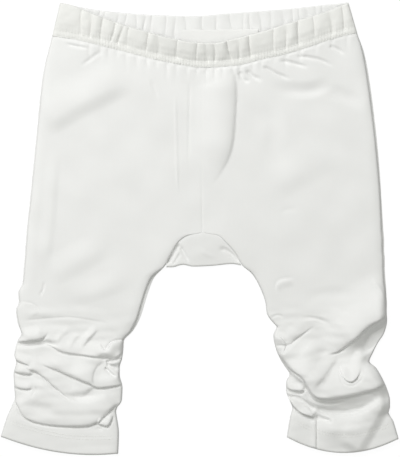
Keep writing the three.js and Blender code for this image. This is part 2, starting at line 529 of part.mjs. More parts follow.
// Front waistband, standing a little over the panels, gathered by its elastic
function frontBand() {
  const ends = {
    topLeft: FRONT_TOP[0][0], topRight: FRONT_TOP.at(-1)[0],
    footLeft: FRONT_SEAM[0][0], footRight: FRONT_SEAM.at(-1)[0],
  };
  const columns = gatherColumns(FRONT_GATHERS, ends);
  const makeRows = (surface) => FRONT_BAND_ROWS.map(([depth, lift]) => columns.map((column) => {
    const x = lerp(column.top, column.foot, depth);
    const y = lerp(frontTopY(column.top), frontSeamY(column.foot) + SEAM_GAP, depth);
    const toEnd = Math.min(column.foot - ends.footLeft, ends.footRight - column.foot);
    const endDrop = BAND_END_DROP * (1 - roundRise(toEnd, BAND_ROLL));
    return { x, y, z: BAND_REST - endDrop + (surface ? BAND_CLOTH + column.rise + lift : 0) };
  }));
  return wall(makeRows(true), makeRows(false));
}

// Back waistband: its inner face shows above the front's dip, gathered there
function backBand() {
  const ends = {
    topLeft: BACK_TOP[0][0], topRight: BACK_TOP.at(-1)[0],
    footLeft: BACK_SEAM[0][0], footRight: BACK_SEAM.at(-1)[0],
  };
  const gathers = BACK_GATHERS.map(([x, depth]) => [x, x * BACK_SPREAD, depth]);
  const columns = gatherColumns(gathers, ends);
  const makeRows = (surface) => BACK_BAND_ROWS.map(([depth, lift]) => columns.map((column) => {
    const x = lerp(column.top, column.foot, depth);
    const y = lerp(backTopY(column.top), backSeamY(column.foot), depth);
    const gather = Math.min(column.rise, 0) * (1 - depth);
    return { x, y, z: surface ? BAND_CLOTH + gather + lift : 0 };
  }));
  return wall(makeRows(true), makeRows(false));
}

// Crotch gusset: a lens of cloth folded round the crotch, its front and back halves in one wall
function gusset() {
  const [leftLine, rightLine] = [LEFT_STATIONS, RIGHT_STATIONS].map(panelLines);
  const upwards = [GUSSET_TIP];
  for (let step = 0.5; step < GUSSET_LAST - GUSSET_FIRST; step += 0.5) upwards.push(step);
  const [crestLeft, crestRight] = [leftLine(GUSSET_FIRST), rightLine(GUSSET_FIRST)];
  const arc = [
    ...upwards.map((step) => leftLine(GUSSET_LAST - step)),
    { ...crestLeft, innerX: (crestLeft.innerX + crestRight.innerX) / 2 },
    ...upwards.map((step) => rightLine(GUSSET_LAST - step)).reverse(),
  ].map((line) => ({
    seam: new THREE.Vector2(line.innerX, line.innerY), roll: line.innerRoll, crown: line.crown,
  }));
  const folds = GUSSET_FOLDS.map(prepareFold);
  const sections = arc.map(({ seam: edge, roll, crown }, i) => {
    const before = arc[Math.max(i - 1, 0)].seam;
    const after = arc[Math.min(i + 1, arc.length - 1)].seam;
    const along = after.clone().sub(before).normalize();
    const seam = new THREE.Vector2(edge.x + along.y * SEAM_GAP, edge.y - along.x * SEAM_GAP);
    const foldX = lerp(...GUSSET_FOLD_ENDS, i / (arc.length - 1));
    const fold = new THREE.Vector2(foldX, crotchFoldY(foldX));
    const across = fold.clone().sub(seam);
    const length = across.length();
    across.normalize();
    const seamTop = EDGE_TOP + crown * (1 - roll);
    const spot = (distance) => seam.clone().addScaledVector(across, distance);
    const outer = [];
    const inner = [];
    const add = (list, distance, z) => list.push({ x: spot(distance).x, y: spot(distance).y, z });
    const face = length - BEND_OUTER;
    GUSSET_FACE_SHARES.forEach((share) => {
      const { x, y } = spot(face * share);
      const top = lerp(seamTop, EDGE_TOP + GUSSET_EDGE_LIFT, share * share)
        + foldsHeight(folds, x, y) * (1 - share * 0.5);
      const z = Math.max(top, EDGE_TOP);
      add(outer, face * share, z);
      add(inner, face * share, Math.max(z - CLOTH, FRONT_REST));
    });
    const rim = outer[outer.length - 1].z;
    const lid = inner[inner.length - 1].z;
    BEND_ANGLES.forEach((angle) => {
      add(outer, face + BEND_OUTER * Math.cos(angle), rim / 2 + (rim / 2) * Math.sin(angle));
      add(inner, face + BEND_INNER * Math.cos(angle),
        (lid + CLOTH) / 2 + ((lid - CLOTH) / 2) * Math.sin(angle));
    });
    [1, 0.5, 0].forEach((share) => {
      add(outer, face * share, 0);
      add(inner, face * share, CLOTH);
    });
    return { outer, inner };
  });
  return wall(sections.map((section) => section.outer), sections.map((section) => section.inner));
}

function label() {
  const { left, right, top, bottom, slant } = LABEL;
  const rows = [top, (top + bottom) / 2, bottom].map((y) => [0, 1 / 3, 2 / 3, 1].map((share) => {
    const x = lerp(left, right, share);
    return { x, y: y + slant * (x - left) };
  }));
  return wall(...[LABEL_REST + LABEL_CLOTH, LABEL_REST].map((z) => (
    rows.map((row) => row.map((point) => ({ ...point, z }))))));
}

// Materials
const jersey = () => new THREE.MeshStandardMaterial({ color: 0xebebe9, roughness: 0.9, metalness: 0 });
const ribbon = () => new THREE.MeshStandardMaterial({ color: 0xf4f4f2, roughness: 0.6, metalness: 0 });

function piece(name, geometry, material = jersey()) {
  geometry.computeVertexNormals();
  const mesh = new THREE.Mesh(geometry, material);
  mesh.name = name;
  return mesh;
}

// Assembly, with the origin at the centre of the footprint
const leggings = new THREE.Group();
leggings.add(
  piece('front_left', frontPanel(LEFT_STATIONS, LEFT_FOLDS)),
  piece('front_right', frontPanel(RIGHT_STATIONS, RIGHT_FOLDS)),
  piece('back_left', backPanel(LEFT_STATIONS, -1)),
  piece('back_right', backPanel(RIGHT_STATIONS, 1)),
  piece('gusset', gusset()),
  piece('waistband_front', frontBand()),
  piece('waistband_back', backBand()),
  piece('hem_front_left', hem(LEFT_STATIONS, LEFT_FOLDS, HEM_REST, HEM_CROWN, -1)),
  piece('hem_front_right', hem(RIGHT_STATIONS, RIGHT_FOLDS, HEM_REST, HEM_CROWN, 1)),
  piece('hem_back_left', hem(LEFT_STATIONS, [], 0, 0, -1)),
  piece('hem_back_right', hem(RIGHT_STATIONS, [], 0, 0, 1)),
  piece('label', label(), ribbon()),
);
const footprint = new THREE.Box3().setFromObject(leggings);
const middle = footprint.getCenter(new THREE.Vector3());
leggings.position.set(-middle.x, -middle.y, -footprint.min.z);

export default leggings;
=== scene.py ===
# %% [markdown]
# # Baby leggings in white jersey, laid flat
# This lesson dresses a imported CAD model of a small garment. The model gives the pieces, their
# sizes and their places. Here each piece becomes a thin sheet of cloth on the solid's form,
# with its folds, gathers, seams and stitches. Lengths in the tables are millimetres, because
# a tailor thinks in them, and every mesh is made in metres.

# %% Load the fixed frame
import math

import bpy
import numpy as np
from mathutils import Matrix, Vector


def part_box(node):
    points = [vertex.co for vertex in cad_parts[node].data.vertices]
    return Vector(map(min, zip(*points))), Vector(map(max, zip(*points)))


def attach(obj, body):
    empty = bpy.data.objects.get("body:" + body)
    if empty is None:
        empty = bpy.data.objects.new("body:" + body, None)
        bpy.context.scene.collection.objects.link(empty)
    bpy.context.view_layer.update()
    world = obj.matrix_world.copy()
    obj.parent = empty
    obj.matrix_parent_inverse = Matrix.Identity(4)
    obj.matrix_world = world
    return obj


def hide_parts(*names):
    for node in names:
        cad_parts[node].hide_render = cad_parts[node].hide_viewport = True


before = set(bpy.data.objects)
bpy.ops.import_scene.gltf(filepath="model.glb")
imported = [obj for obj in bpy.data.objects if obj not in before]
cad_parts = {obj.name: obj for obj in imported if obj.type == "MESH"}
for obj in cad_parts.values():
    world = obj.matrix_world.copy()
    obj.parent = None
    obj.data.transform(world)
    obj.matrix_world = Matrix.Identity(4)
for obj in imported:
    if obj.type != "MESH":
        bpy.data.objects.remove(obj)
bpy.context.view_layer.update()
MM = 0.001

# %% [markdown]
# ## Sizes that come from the frame
# The heights of the layers are read from the solids: one layer of jersey, the doubled band,
# the turned hem and the gap at the seams. The tables below were written round the middle of
# the garment, and two corners of the solids say how far that middle lies from the origin.

# %% Layer heights and the place of the tables
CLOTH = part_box("back_left")[1][2] / MM
BAND_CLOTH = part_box("waistband_back")[1][2] / MM
HEM_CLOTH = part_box("hem_back_left")[1][2] / MM
LABEL_LOW, LABEL_HIGH = (corner[2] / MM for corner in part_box("label"))
SEAM_GAP = LABEL_LOW - BAND_CLOTH
FRONT_REST = CLOTH + SEAM_GAP
EDGE_TOP = FRONT_REST + CLOTH
BAND_REST = LABEL_HIGH + SEAM_GAP
BAND_HEIGHT = 17.0
BACK_SPREAD = 1.04
SHEET = 0.7  # thickness of the drawn cloth
print("cloth", round(CLOTH, 2), "band", round(BAND_CLOTH, 2), "gap", round(SEAM_GAP, 2))

# %% [markdown]
# ## The cut of the garment
# A pattern cutter thinks of a trouser leg as cross lines from the side to the inseam, so the
# leg panels are tables of such lines, from the waist to the hem's edge. A row gives its two
# ends, how far its middle hangs (bow), how high the cloth stands (crown), how much its inner
# end rolls over (roll) and how far the hidden back shows past it (back out, back in).

# %% Cross lines of the leg panels
STATION_COLUMNS = ("outer_x", "outer_y", "inner_x", "inner_y", "bow", "crown", "roll",
                   "back_out", "back_in")
LEFT_LEG = [
    (-103.5, 135.0, 1.1, 113.0, 0.0, 2.0, 0.00, 0.0, 0),  # waist seam
    (-106.0, 125.0, 1.1, 104.0, 0.0, 2.1, 0.00, 0.3, 0),
    (-110.0, 105.5, 1.1, 84.5, 0.0, 2.1, 0.00, 0.5, 0),  # hip
    (-114.5, 62.0, 1.1, 51.5, 0.0, 2.0, 0.00, 0.5, 0),  # seat
    (-118.5, 21.5, 1.3, 18.0, 0.0, 2.0, 0.00, 0.5, 0),
    (-121.0, -1.0, 1.6, -2.0, 0.0, 2.0, 0.05, 0.5, 0),  # top of the gusset
    (-121.5, -8.0, -8.5, -4.5, 0.0, 2.0, 0.15, 0.5, 0),
    (-122.0, -15.0, -14.5, -8.5, 0.0, 2.0, 0.35, 0.5, 0),
    (-122.5, -22.0, -20.5, -18.0, 0.0, 2.0, 0.60, 0.5, 0),
    (-123.0, -27.5, -24.5, -26.0, 0.0, 2.0, 0.85, 0.5, 0),  # end of the gusset
    (-124.0, -38.0, -34.0, -34.0, 0.0, 2.0, 1.00, 0.5, 2.0),
    (-127.0, -45.0, -38.0, -43.0, 0.0, 2.0, 1.00, 0.5, 2.2),
    (-126.5, -51.5, -41.0, -52.5, 0.0, 2.0, 1.00, 0.5, 2.2),
    (-128.5, -57.0, -44.0, -62.5, 0.0, 2.0, 1.00, 0.5, 2.0),  # knee
    (-127.5, -65.5, -48.5, -71.5, 0.0, 2.0, 1.00, 0.4, 1.5),
    (-125.0, -73.5, -54.0, -78.5, 0.0, 2.0, 1.00, 0.2, 0.6),
    (-127.5, -78.0, -54.0, -83.0, 0.0, 2.0, 1.00, 0.2, 0.4),
    (-130.0, -88.5, -55.0, -92.0, 0.5, 2.0, 1.00, 0.2, 0.2),
    (-128.5, -93.5, -56.5, -96.5, 1.0, 2.0, 1.00, 0.2, 0.2),
    (-130.5, -101.5, -56.5, -102.5, 1.5, 2.0, 1.00, 0.2, 0.2),
    (-130.0, -111.5, -54.5, -111.0, 2.5, 2.0, 1.00, 0.2, 0.2),
    (-129.5, -118.5, -55.0, -120.5, 3.5, 1.9, 1.00, 0.2, 0.2),
    (-131.5, -123.5, -59.0, -127.5, 4.5, 1.8, 1.00, 0.2, 0.2),
    (-135.0, -131.5, -57.0, -143.0, 5.4, 1.6, 1.00, 0.2, 0.2),  # hem stitching
    (-139.5, -145.5, -57.5, -157.5, 5.2, 1.6, 1.00, 0.2, 0.2),  # hem edge
]
RIGHT_LEG = [
    (110.0, 137.5, 1.4, 113.0, 0.0, 2.0, 0.00, 0.3, 0),  # waist seam
    (113.9, 125.0, 1.4, 104.0, 0.0, 2.1, 0.00, 0.7, 0),
    (117.4, 105.5, 1.4, 84.5, 0.0, 2.1, 0.00, 1.1, 0),  # hip
    (122.9, 62.0, 1.4, 51.5, 0.0, 2.0, 0.00, 1.1, 0),  # seat
    (126.4, 21.5, 1.6, 18.0, 0.0, 2.0, 0.00, 0.7, 0),
    (127.4, -1.0, 1.9, -2.0, 0.0, 2.0, 0.05, 1.1, 0),  # top of the gusset
    (127.9, -8.0, 12.0, -4.5, 0.0, 2.0, 0.15, 1.1, 0),
    (127.9, -15.0, 19.0, -10.5, 0.0, 2.0, 0.35, 1.1, 0),
    (128.4, -20.5, 25.0, -17.5, 0.0, 2.0, 0.60, 1.1, 0),
    (128.4, -27.0, 29.5, -25.5, 0.0, 2.0, 0.85, 1.1, 0),  # end of the gusset
    (128.9, -36.5, 36.5, -31.5, 0.0, 2.0, 1.00, 1.1, 0.2),
    (129.9, -45.0, 43.0, -43.0, 0.0, 2.0, 1.00, 0.7, 0.2),
    (130.0, -52.0, 46.0, -52.0, 0.0, 2.0, 1.00, 1.0, 0.2),
    (130.5, -58.5, 47.0, -59.5, 0.0, 2.0, 1.00, 0.4, 0.2),  # knee
    (131.0, -64.5, 52.0, -66.5, 0.0, 2.0, 1.00, 0.2, 0.2),
    (129.0, -73.0, 54.0, -69.0, 0.0, 2.0, 1.00, 0.2, 0.2),
    (124.5, -80.0, 51.5, -74.5, 0.0, 2.0, 1.00, 0.2, 0.2),
    (121.0, -87.0, 53.0, -83.0, 0.5, 2.0, 1.00, 0.2, 0.2),
    (118.5, -93.0, 56.0, -90.5, 1.0, 2.0, 1.00, 0.2, 0.2),
    (123.0, -97.0, 60.0, -97.0, 1.5, 2.0, 1.00, 0.2, 0.2),
    (127.5, -104.5, 63.0, -102.0, 2.5, 2.0, 1.00, 0.2, 0.2),
    (130.5, -111.0, 60.5, -107.5, 4.0, 2.0, 1.00, 0.2, 0.2),
    (133.0, -120.0, 60.5, -113.5, 6.0, 2.0, 1.00, 0.2, 0.2),
    (133.0, -125.0, 63.5, -121.5, 8.0, 1.9, 1.00, 0.2, 0.2),
    (132.0, -129.0, 65.0, -126.0, 9.5, 1.8, 1.00, 0.2, 0.2),
    (135.0, -134.0, 63.5, -131.0, 10.5, 1.6, 1.00, 0.2, 0.2),  # hem stitching
    (139.0, -147.0, 61.0, -146.0, 10.5, 1.2, 1.00, 0.2, 0.2),  # hem edge
]
GUSSET_FIRST, GUSSET_LAST = 5, 9
LEGS = {"left": LEFT_LEG, "right": RIGHT_LEG}
print("cross lines:", {name: len(rows) for name, rows in LEGS.items()})

# %% Lines of the waist and the crotch
FRONT_TOP = [
    (-98, 158.2), (-92, 157.2), (-76, 151), (-54.5, 143), (-37.5, 138), (-20.5, 133.5),
    (-3.5, 130.5), (9, 130), (22, 132.5), (41.5, 137.5), (62.5, 144), (84, 150.5), (104, 158.2)]
FRONT_SEAM = [
    (-103.5, 135), (-87, 132.5), (-70, 128.5), (-56, 125), (-37, 120), (-21, 116.5), (2, 113),
    (26, 114.5), (42, 118.5), (58, 122), (75, 127), (91, 132.5), (110, 137.5)]
BACK_TOP = [
    (-98, 158.6), (-80, 154.5), (-70, 153), (-44, 150.5), (-24.5, 149.5), (-7, 149),
    (21, 151), (42, 152.5), (66.5, 154.5), (84, 156.5), (104, 158.6)]
CROTCH_FOLD = [
    (-24.5, -27), (-19.5, -27), (-12, -25.3), (-4.5, -26.5), (8, -26), (22.5, -24.7),
    (29.5, -25.8)]
BACK_SEAM = [(x * BACK_SPREAD, y - BAND_HEIGHT) for x, y in BACK_TOP]

# %% [markdown]
# ## Smooth lines through short tables
# Straight pieces between the table's values would leave corners in the cloth, and an ordinary
# spline swings out past them. A cubic piece whose slopes follow the neighbours, but never
# carry the curve past its two ends, keeps an outline round without bulges of its own.

# %% Smooth lines and roundings


def smooth_line(at, values):
    at, values = np.asarray(at, float), np.asarray(values, float)
    rates = np.diff(values) / np.diff(at)
    slopes = np.concatenate([rates[:1], np.zeros(len(at) - 2), rates[-1:]])
    same_way = rates[:-1] * rates[1:] > 0
    mean = 2 * rates[:-1] * rates[1:] / np.where(same_way, rates[:-1] + rates[1:], 1)
    slopes[1:-1] = np.where(same_way, mean, 0)

    def line(wanted):
        x = np.clip(wanted, at[0], at[-1])
        i = np.clip(np.searchsorted(at, x, side="right") - 1, 0, len(at) - 2)
        span = at[i + 1] - at[i]
        s = (x - at[i]) / span
        bend = span * s * (1 - s) * ((1 - s) * slopes[i] - s * slopes[i + 1])
        return values[i] + (values[i + 1] - values[i]) * s * s * (3 - 2 * s) + bend

    return line


def line_of(points):
    return smooth_line([p[0] for p in points], [p[1] for p in points])


def smoothstep(x, low, high):
    s = np.clip((x - low) / (high - low), 0, 1)
    return s * s * (3 - 2 * s)


def round_rise(distance, width):
    s = np.clip(distance / width, 0, 1)
    return np.sqrt(1 - (1 - s) ** 2)


front_top_y, front_seam_y = line_of(FRONT_TOP), line_of(FRONT_SEAM)
back_top_y, back_seam_y = line_of(BACK_TOP), line_of(BACK_SEAM)
crotch_fold_y = line_of(CROTCH_FOLD)
SHIFT_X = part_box("hem_back_left")[0][0] / MM - (LEFT_LEG[-1][0] - LEFT_LEG[-1][7])
SHIFT_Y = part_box("waistband_back")[1][1] / MM - BACK_TOP[0][1]
print("tables lie off the origin by", round(SHIFT_X, 2), round(SHIFT_Y, 2), "mm")

# %% [markdown]
# ## Folds
# Ruched cloth hangs in lips: it rises slowly, rounds over and tucks back under itself. A
# cloth simulation would find folds of its own, and sculpted ones can't be read in a script, so
# each fold here is a row in a table. A height map can't tuck under, so each lip also pulls its
# crest sideways over its own foot. A roll has a lip's profile without the tuck, and creases
# and ridges only fall or rise.
#
# A row gives the kind, the height, the reach to the left of its line, the drop to the right,
# the shares of its length over which it starts and dies away, and its line.

# %% Folds of the left leg
LEFT_FOLDS = [
    # tiers of the gathered lower leg
    ("lip", 1.9, 11, 1.0, 0.4, 0.05, [(-129, -78.5), (-113.5, -80.5), (-105, -82),
                                      (-96.5, -86.5), (-84, -88.5), (-72, -90), (-53, -91)]),
    ("lip", 2.8, 8, 2.4, 0, 0.35, [(-129, -80.5), (-120.5, -79), (-110.5, -76.5), (-105, -71.5)]),
    ("crease", 2.4, 4, 3, 0, 0.3, [(-128, -81), (-118, -81), (-108, -79.5), (-95, -81)]),
    ("lip", 2.7, 13, 0.9, 0.25, 0, [(-115, -92.5), (-101.5, -98.5), (-89.5, -104),
                                    (-78, -108.5), (-70.5, -111.5), (-54, -109.5)]),
    ("lip", 2.2, 11, 0.9, 0.2, 0.4, [(-126, -94.5), (-111, -103), (-101.5, -111.5),
                                     (-91.5, -119), (-82.5, -123.5)]),
    ("ridge", 2.6, 5, 20, 0.3, 0.3, [(-126, -105), (-112, -110), (-100, -117), (-86, -122),
                                     (-72, -120), (-60, -115)]),
    ("lip", 2.0, 22, 0.9, 0.08, 0.08, [(-131, -118), (-127.5, -125), (-124.5, -131),
                                       (-116, -135.5), (-101.5, -138), (-82, -138.5),
                                       (-73.5, -136.5), (-67, -131.5), (-56, -121.5)]),
    # short folds at the outer side
    ("lip", 1.9, 6, 1, 0, 0.4, [(-131, -92.5), (-124.5, -94), (-118, -96)]),
    ("lip", 1.9, 6, 1, 0, 0.3, [(-131.5, -100.5), (-122, -102), (-115.5, -102)]),
    ("lip", 1.6, 6, 1, 0, 0.3, [(-131, -111), (-122.5, -112.5), (-116, -112)]),
    # round end of the second tier, and puckers beside it
    ("roll", 1.9, 15, 2.6, 0.15, 0.25, [(-71, -110), (-73.8, -105.5), (-73.6, -100),
                                        (-71, -95.5), (-66, -92.8)]),
    ("crease", 2.4, 1.4, 1.7, 0.1, 0, [(-66, -93.3), (-60, -91.5), (-54, -87)]),
    ("ridge", 1.3, 2.5, 2.5, 0.2, 0, [(-64, -93.7), (-59, -94), (-54, -93)]),
    ("crease", 2.4, 1.4, 1.7, 0.1, 0, [(-65.5, -94.5), (-60, -97), (-55.5, -98.5)]),
    ("crease", 1.8, 1.4, 1.6, 0.1, 0.3, [(-66.5, -97), (-63, -100.5), (-58, -102.5)]),
    ("lip", 2.0, 6, 1.2, 0.1, 0.3, [(-53, -78), (-61, -79), (-65.5, -83), (-68, -82),
                                    (-69.5, -78.5)]),
    ("ridge", 1.6, 5, 2.2, 0.25, 0.3, [(-83.5, -82), (-75.5, -73.5), (-71.5, -69)]),
    ("ridge", 0.5, 4, 2.0, 0.3, 0.3, [(-100, -79), (-97, -74.5), (-91, -70.5)]),
    ("ridge", 0.5, 4, 2.0, 0.3, 0.3, [(-92, -83), (-88, -77), (-84, -73)]),
    ("lip", 0.4, 9, 1.0, 0.15, 0.3, [(-126, -64), (-101.5, -62), (-87, -62), (-59.5, -66.5)]),
    ("lip", 0.35, 8, 1.4, 0.1, 0.3, [(-112, -59), (-116, -53.5), (-120.5, -52), (-128, -51)]),
    ("crease", 0.5, 1.6, 1.6, 0.3, 0.3, [(-109, -36), (-109.5, -41.5), (-112.5, -48)]),
    ("crease", 0.9, 5, 5, 0.35, 0.35, [(-91, -115), (-82.5, -118), (-72, -117)]),
    ("crease", 0.6, 5, 5, 0.35, 0.35, [(-117.5, -122.5), (-109, -125.5), (-101, -126)]),
    ("crease", 0.6, 1.3, 1.3, 0.3, 0.3, [(-115, -110), (-115.5, -113.5), (-117.5, -118)]),
    ("lip", 1.8, 5, 1, 0.1, 0.2, [(-73, -136.3), (-68.5, -137.5), (-65, -138.3), (-62.8, -136),
                                  (-60, -130)]),
    ("crease", 0.5, 1.4, 1.4, 0.3, 0.3, [(-72, -139), (-68, -141)]),
    # slack of the body and thigh
    ("ridge", 2.1, 22, 12, 0.2, 0.3, [(-112, 72), (-96.5, 81), (-84, 88.5), (-45, 107)]),
    ("ridge", 0.6, 8, 5, 0.2, 0.3, [(-108.5, -27.5), (-104.5, 9.5), (-101.5, 56.5)]),
    ("ridge", 1.1, 14, 11, 0.2, 0.35, [(-108, -33), (-84, -21.5), (-60, -8)]),
    ("ridge", 0.7, 12, 8, 0.3, 0.35, [(-98, -50), (-76.5, -44.5), (-47, -35)]),
    ("ridge", 0.45, 1.1, 1.1, 0.2, 0.2, [(-17.5, 96.5), (-16.5, 58.5), (-15.5, 21.5)]),
    ("crease", 0.4, 1.6, 1.6, 0.2, 0.35, [(-7, 105.5), (-7.5, 80), (-8, 40)]),
    ("crease", 0.4, 2.2, 2.2, 0.3, 0.35, [(-34.5, 105.5), (-32, 98), (-29, 90)]),
    ("crease", 0.8, 1.6, 1.6, 0.25, 0.3, [(-94.5, 129.5), (-85.5, 127.5), (-77, 126)]),
    ("crease", 0.7, 2.0, 2.0, 0.25, 0.4, [(-68, 125), (-73, 121.5), (-84.5, 113)]),
]
print("left folds:", len(LEFT_FOLDS))

# %% Folds of the right leg and the gusset
RIGHT_FOLDS = [
    # tiers of the gathered lower leg
    ("lip", 2.8, 20, 1.2, 0.2, 0, [(88, -89), (96, -86.5), (102, -82.5), (109.5, -76.5),
                                   (116, -70.5), (121, -67), (131.5, -61.5)]),
    ("ridge", 6.0, 32, 10, 0.35, 0, [(96.5, -84), (102, -79.5), (108.5, -74.5), (115, -69),
                                    (120, -65.5), (131, -60)]),
    ("lip", 1.3, 9, 1.8, 0, 0.4, [(49.5, -81.5), (62, -81), (68, -76.5), (82.5, -66.5)]),
    ("ridge", 1.3, 8, 5, 0, 0.4, [(53, -86), (68, -86.5), (82.5, -84), (95, -81)]),
    ("lip", 3.0, 22, 1.2, 0.05, 0, [(53, -86.5), (59, -94.5), (63, -99), (71, -104.5),
                                    (75, -111.5), (78.5, -116.5), (84.5, -119), (97, -118.5),
                                    (111.5, -115.5), (126, -111), (132.5, -106.5)]),
    ("ridge", 5.8, 27, 11, 0.2, 0, [(59, -92.5), (64, -97), (72, -102.5), (77, -109.5),
                                     (81, -114.5), (86.5, -116.8), (97, -116.5),
                                     (111, -113.5), (125, -109), (131.5, -104.5)]),
    ("ridge", 1.5, 10, 12, 0.25, 0.2, [(74, -97), (86, -103), (100, -103.5), (114, -100.5),
                                       (126, -96)]),
    ("crease", 2.4, 1.4, 2.4, 0.15, 0.45, [(72, -107.5), (78.5, -118.5), (86, -121.4),
                                           (97, -120.9), (111, -117.5)]),
    ("crease", 4.4, 5, 8, 0, 0.3, [(132, -69), (124, -75.5), (117.5, -82), (110, -88)]),
    ("lip", 2.4, 7, 0.9, 0.3, 0.35, [(97.6, -94), (98, -100), (101, -104.5), (105.7, -105.7),
                                     (110, -102.5), (114, -96.5)]),
    ("crease", 0.8, 1.0, 1.1, 0.3, 0.3, [(96.3, -100.5), (99.5, -106.3), (105.5, -108.1),
                                         (111.5, -104.5), (115, -99)]),
    ("ridge", 2.2, 6, 6, 0.25, 0.4, [(113, -74), (115, -82), (110.5, -93.5), (105, -101)]),
    ("ridge", 1.3, 9, 4, 0.2, 0.3, [(78.5, -110), (86, -102), (91, -94.5), (96.5, -86.5)]),
    ("ridge", 2.9, 13, 7, 0.1, 0.2, [(131, -117), (122, -125.5), (112, -132),
                                     (101.5, -134), (92, -133.5), (84, -130)]),
    ("ridge", 3.0, 18, 8, 0.15, 0.1, [(107, -158), (115, -144), (122, -131.5),
                                      (129, -119.5)]),
    ("ridge", 3.4, 10, 15, 0.45, 0.4, [(80, -137), (92, -140), (103, -142), (116, -141)]),
    ("crease", 2.8, 4, 2.6, 0.2, 0.3, [(78, -123), (84, -126.5), (94, -129), (106, -128.3),
                                       (118, -124), (127, -118)]),
    # folds at the inner side
    ("crease", 2.2, 2.2, 5.5, 0.1, 0.2, [(60, -99.5), (65, -103.5), (70.5, -108), (74.5, -114.5)]),
    ("lip", 1.8, 5, 0.9, 0, 0.2, [(59, -111), (64, -113), (74, -113.5)]),
    ("crease", 2.8, 1.4, 2.0, 0, 0.2, [(60.5, -112.5), (66, -114.3), (74, -114.5)]),
    ("crease", 3.6, 1.6, 2.4, 0, 0.2, [(61, -117), (69, -118.5), (76.3, -123.4), (81, -127.5)]),
    ("lip", 2.6, 5, 0.9, 0, 0.15, [(62.5, -121.5), (66.5, -126), (73.5, -130.2), (81, -132)]),
    ("crease", 3.2, 2.0, 2.4, 0.1, 0.4, [(81, -131.5), (88, -133.5), (93, -135)]),
    ("lip", 0.9, 4, 0.8, 0, 0.1, [(81.5, -156.5), (81.5, -145), (81.5, -133)]),
    ("lip", 1.2, 5, 1, 0.1, 0.3, [(59.5, -86.5), (60, -80.5), (57.5, -76), (53, -73.5)]),
    ("lip", 0.8, 5, 1.1, 0.3, 0.3, [(66.5, -34.5), (58, -35.5), (53.5, -38.5), (53.5, -44.5)]),
    ("crease", 0.9, 2.2, 2.2, 0.3, 0.35, [(69.5, -62.5), (78.5, -62.5), (85.5, -64),
                                          (91.5, -67)]),
    ("ridge", 0.6, 2.2, 2.2, 0.3, 0.2, [(119.5, -35), (125.5, -41.5), (129.5, -49)]),
    ("crease", 0.6, 6, 6, 0.4, 0.4, [(70, -50), (91, -45), (113.5, -47)]),
    ("crease", 0.6, 1.6, 1.6, 0.2, 0.3, [(49, -62.5), (54.5, -60.5), (59, -62)]),
    # pleat beside the centre, and slack of the body
    ("roll", 3.1, 26, 5.5, 0.4, 0.26, [(5, 27), (13, 37), (20, 49), (23.5, 62), (24.8, 78),
                                       (25.5, 92), (25, 103), (22.5, 112), (19, 121)]),
    ("ridge", 1.0, 20, 14, 0.3, 0.35, [(42, 27), (63, 37), (99.5, 56.5)]),
    ("crease", 0.4, 1.8, 1.8, 0.35, 0.35, [(55.5, 11.5), (61.5, 13.5), (68.5, 14)]),
    ("crease", 1.5, 2.2, 2.0, 0.15, 0.35, [(43.5, 114), (53, 108.5), (64.5, 104)]),
    ("crease", 1.3, 2.2, 2.0, 0.2, 0.35, [(55.5, 118), (66, 115.5), (76.5, 112.5)]),
    ("crease", 1.3, 2.0, 2.0, 0.2, 0.4, [(67, 121), (82.5, 118.5), (95, 113)]),
    ("crease", 1.3, 2.2, 2.0, 0.15, 0.4, [(90.5, 128), (96, 125.5), (101.5, 121.5)]),
    ("crease", 1.4, 2.2, 2.0, 0.2, 0.4, [(32, 111.5), (36.5, 107), (44, 103)]),
    ("crease", 1.3, 2.2, 2.0, 0.2, 0.3, [(27.5, 110.5), (30, 105), (35, 102)]),
    ("crease", 1.7, 8, 6, 0.4, 0.4, [(50, 101), (66, 96.5), (80, 97), (96, 104)]),
    ("crease", 1.2, 8, 7, 0.4, 0.4, [(84, 98), (98, 94), (116, 86)]),
    ("crease", 0.7, 10, 9, 0.4, 0.4, [(44, 88), (52, 72.5), (50.5, 50)]),
]
GUSSET_FOLDS = [
    ("crease", 2.0, 2.2, 2.0, 0.1, 0.1, [(-14.5, -10.5), (-18, -16.5), (-22, -24)]),
    ("crease", 1.7, 2.0, 1.8, 0.2, 0.2, [(-14, -12), (-11, -17.5), (-7.5, -23.5)]),
    ("crease", 1.0, 1.2, 1.2, 0.2, 0.2, [(-13.5, -16.5), (-16, -21), (-19, -25.5)]),
    ("crease", 1.6, 2.4, 2.4, 0.2, 0.2, [(13, -14), (19, -15.5), (27.5, -23.5)]),
    ("ridge", 0.5, 2, 2, 0.3, 0.3, [(-0.5, -14), (4, -17.5), (11, -20)]),
]
print("right folds:", len(RIGHT_FOLDS), "gusset folds:", len(GUSSET_FOLDS))

# %% Fold lines as smooth paths


def fold_path(points, per_span=10):
    """A uniform Catmull-Rom line through the given points."""
    p = np.asarray(points, float)
    ends = np.vstack([2 * p[0] - p[1], p, 2 * p[-1] - p[-2]])
    t = np.linspace(0, 1, per_span, endpoint=False)[:, None]
    spans = []
    for a, b, c, d in zip(ends, ends[1:], ends[2:], ends[3:]):
        spans.append(0.5 * (2 * b + (c - a) * t + (2 * a - 5 * b + 4 * c - d) * t ** 2
                            + (3 * b - a - 3 * c + d) * t ** 3))
    return np.vstack(spans + [p[-1:]])


print("points on the first fold's line:", len(fold_path(LEFT_FOLDS[0][-1])))

# %% Distance from a fold line


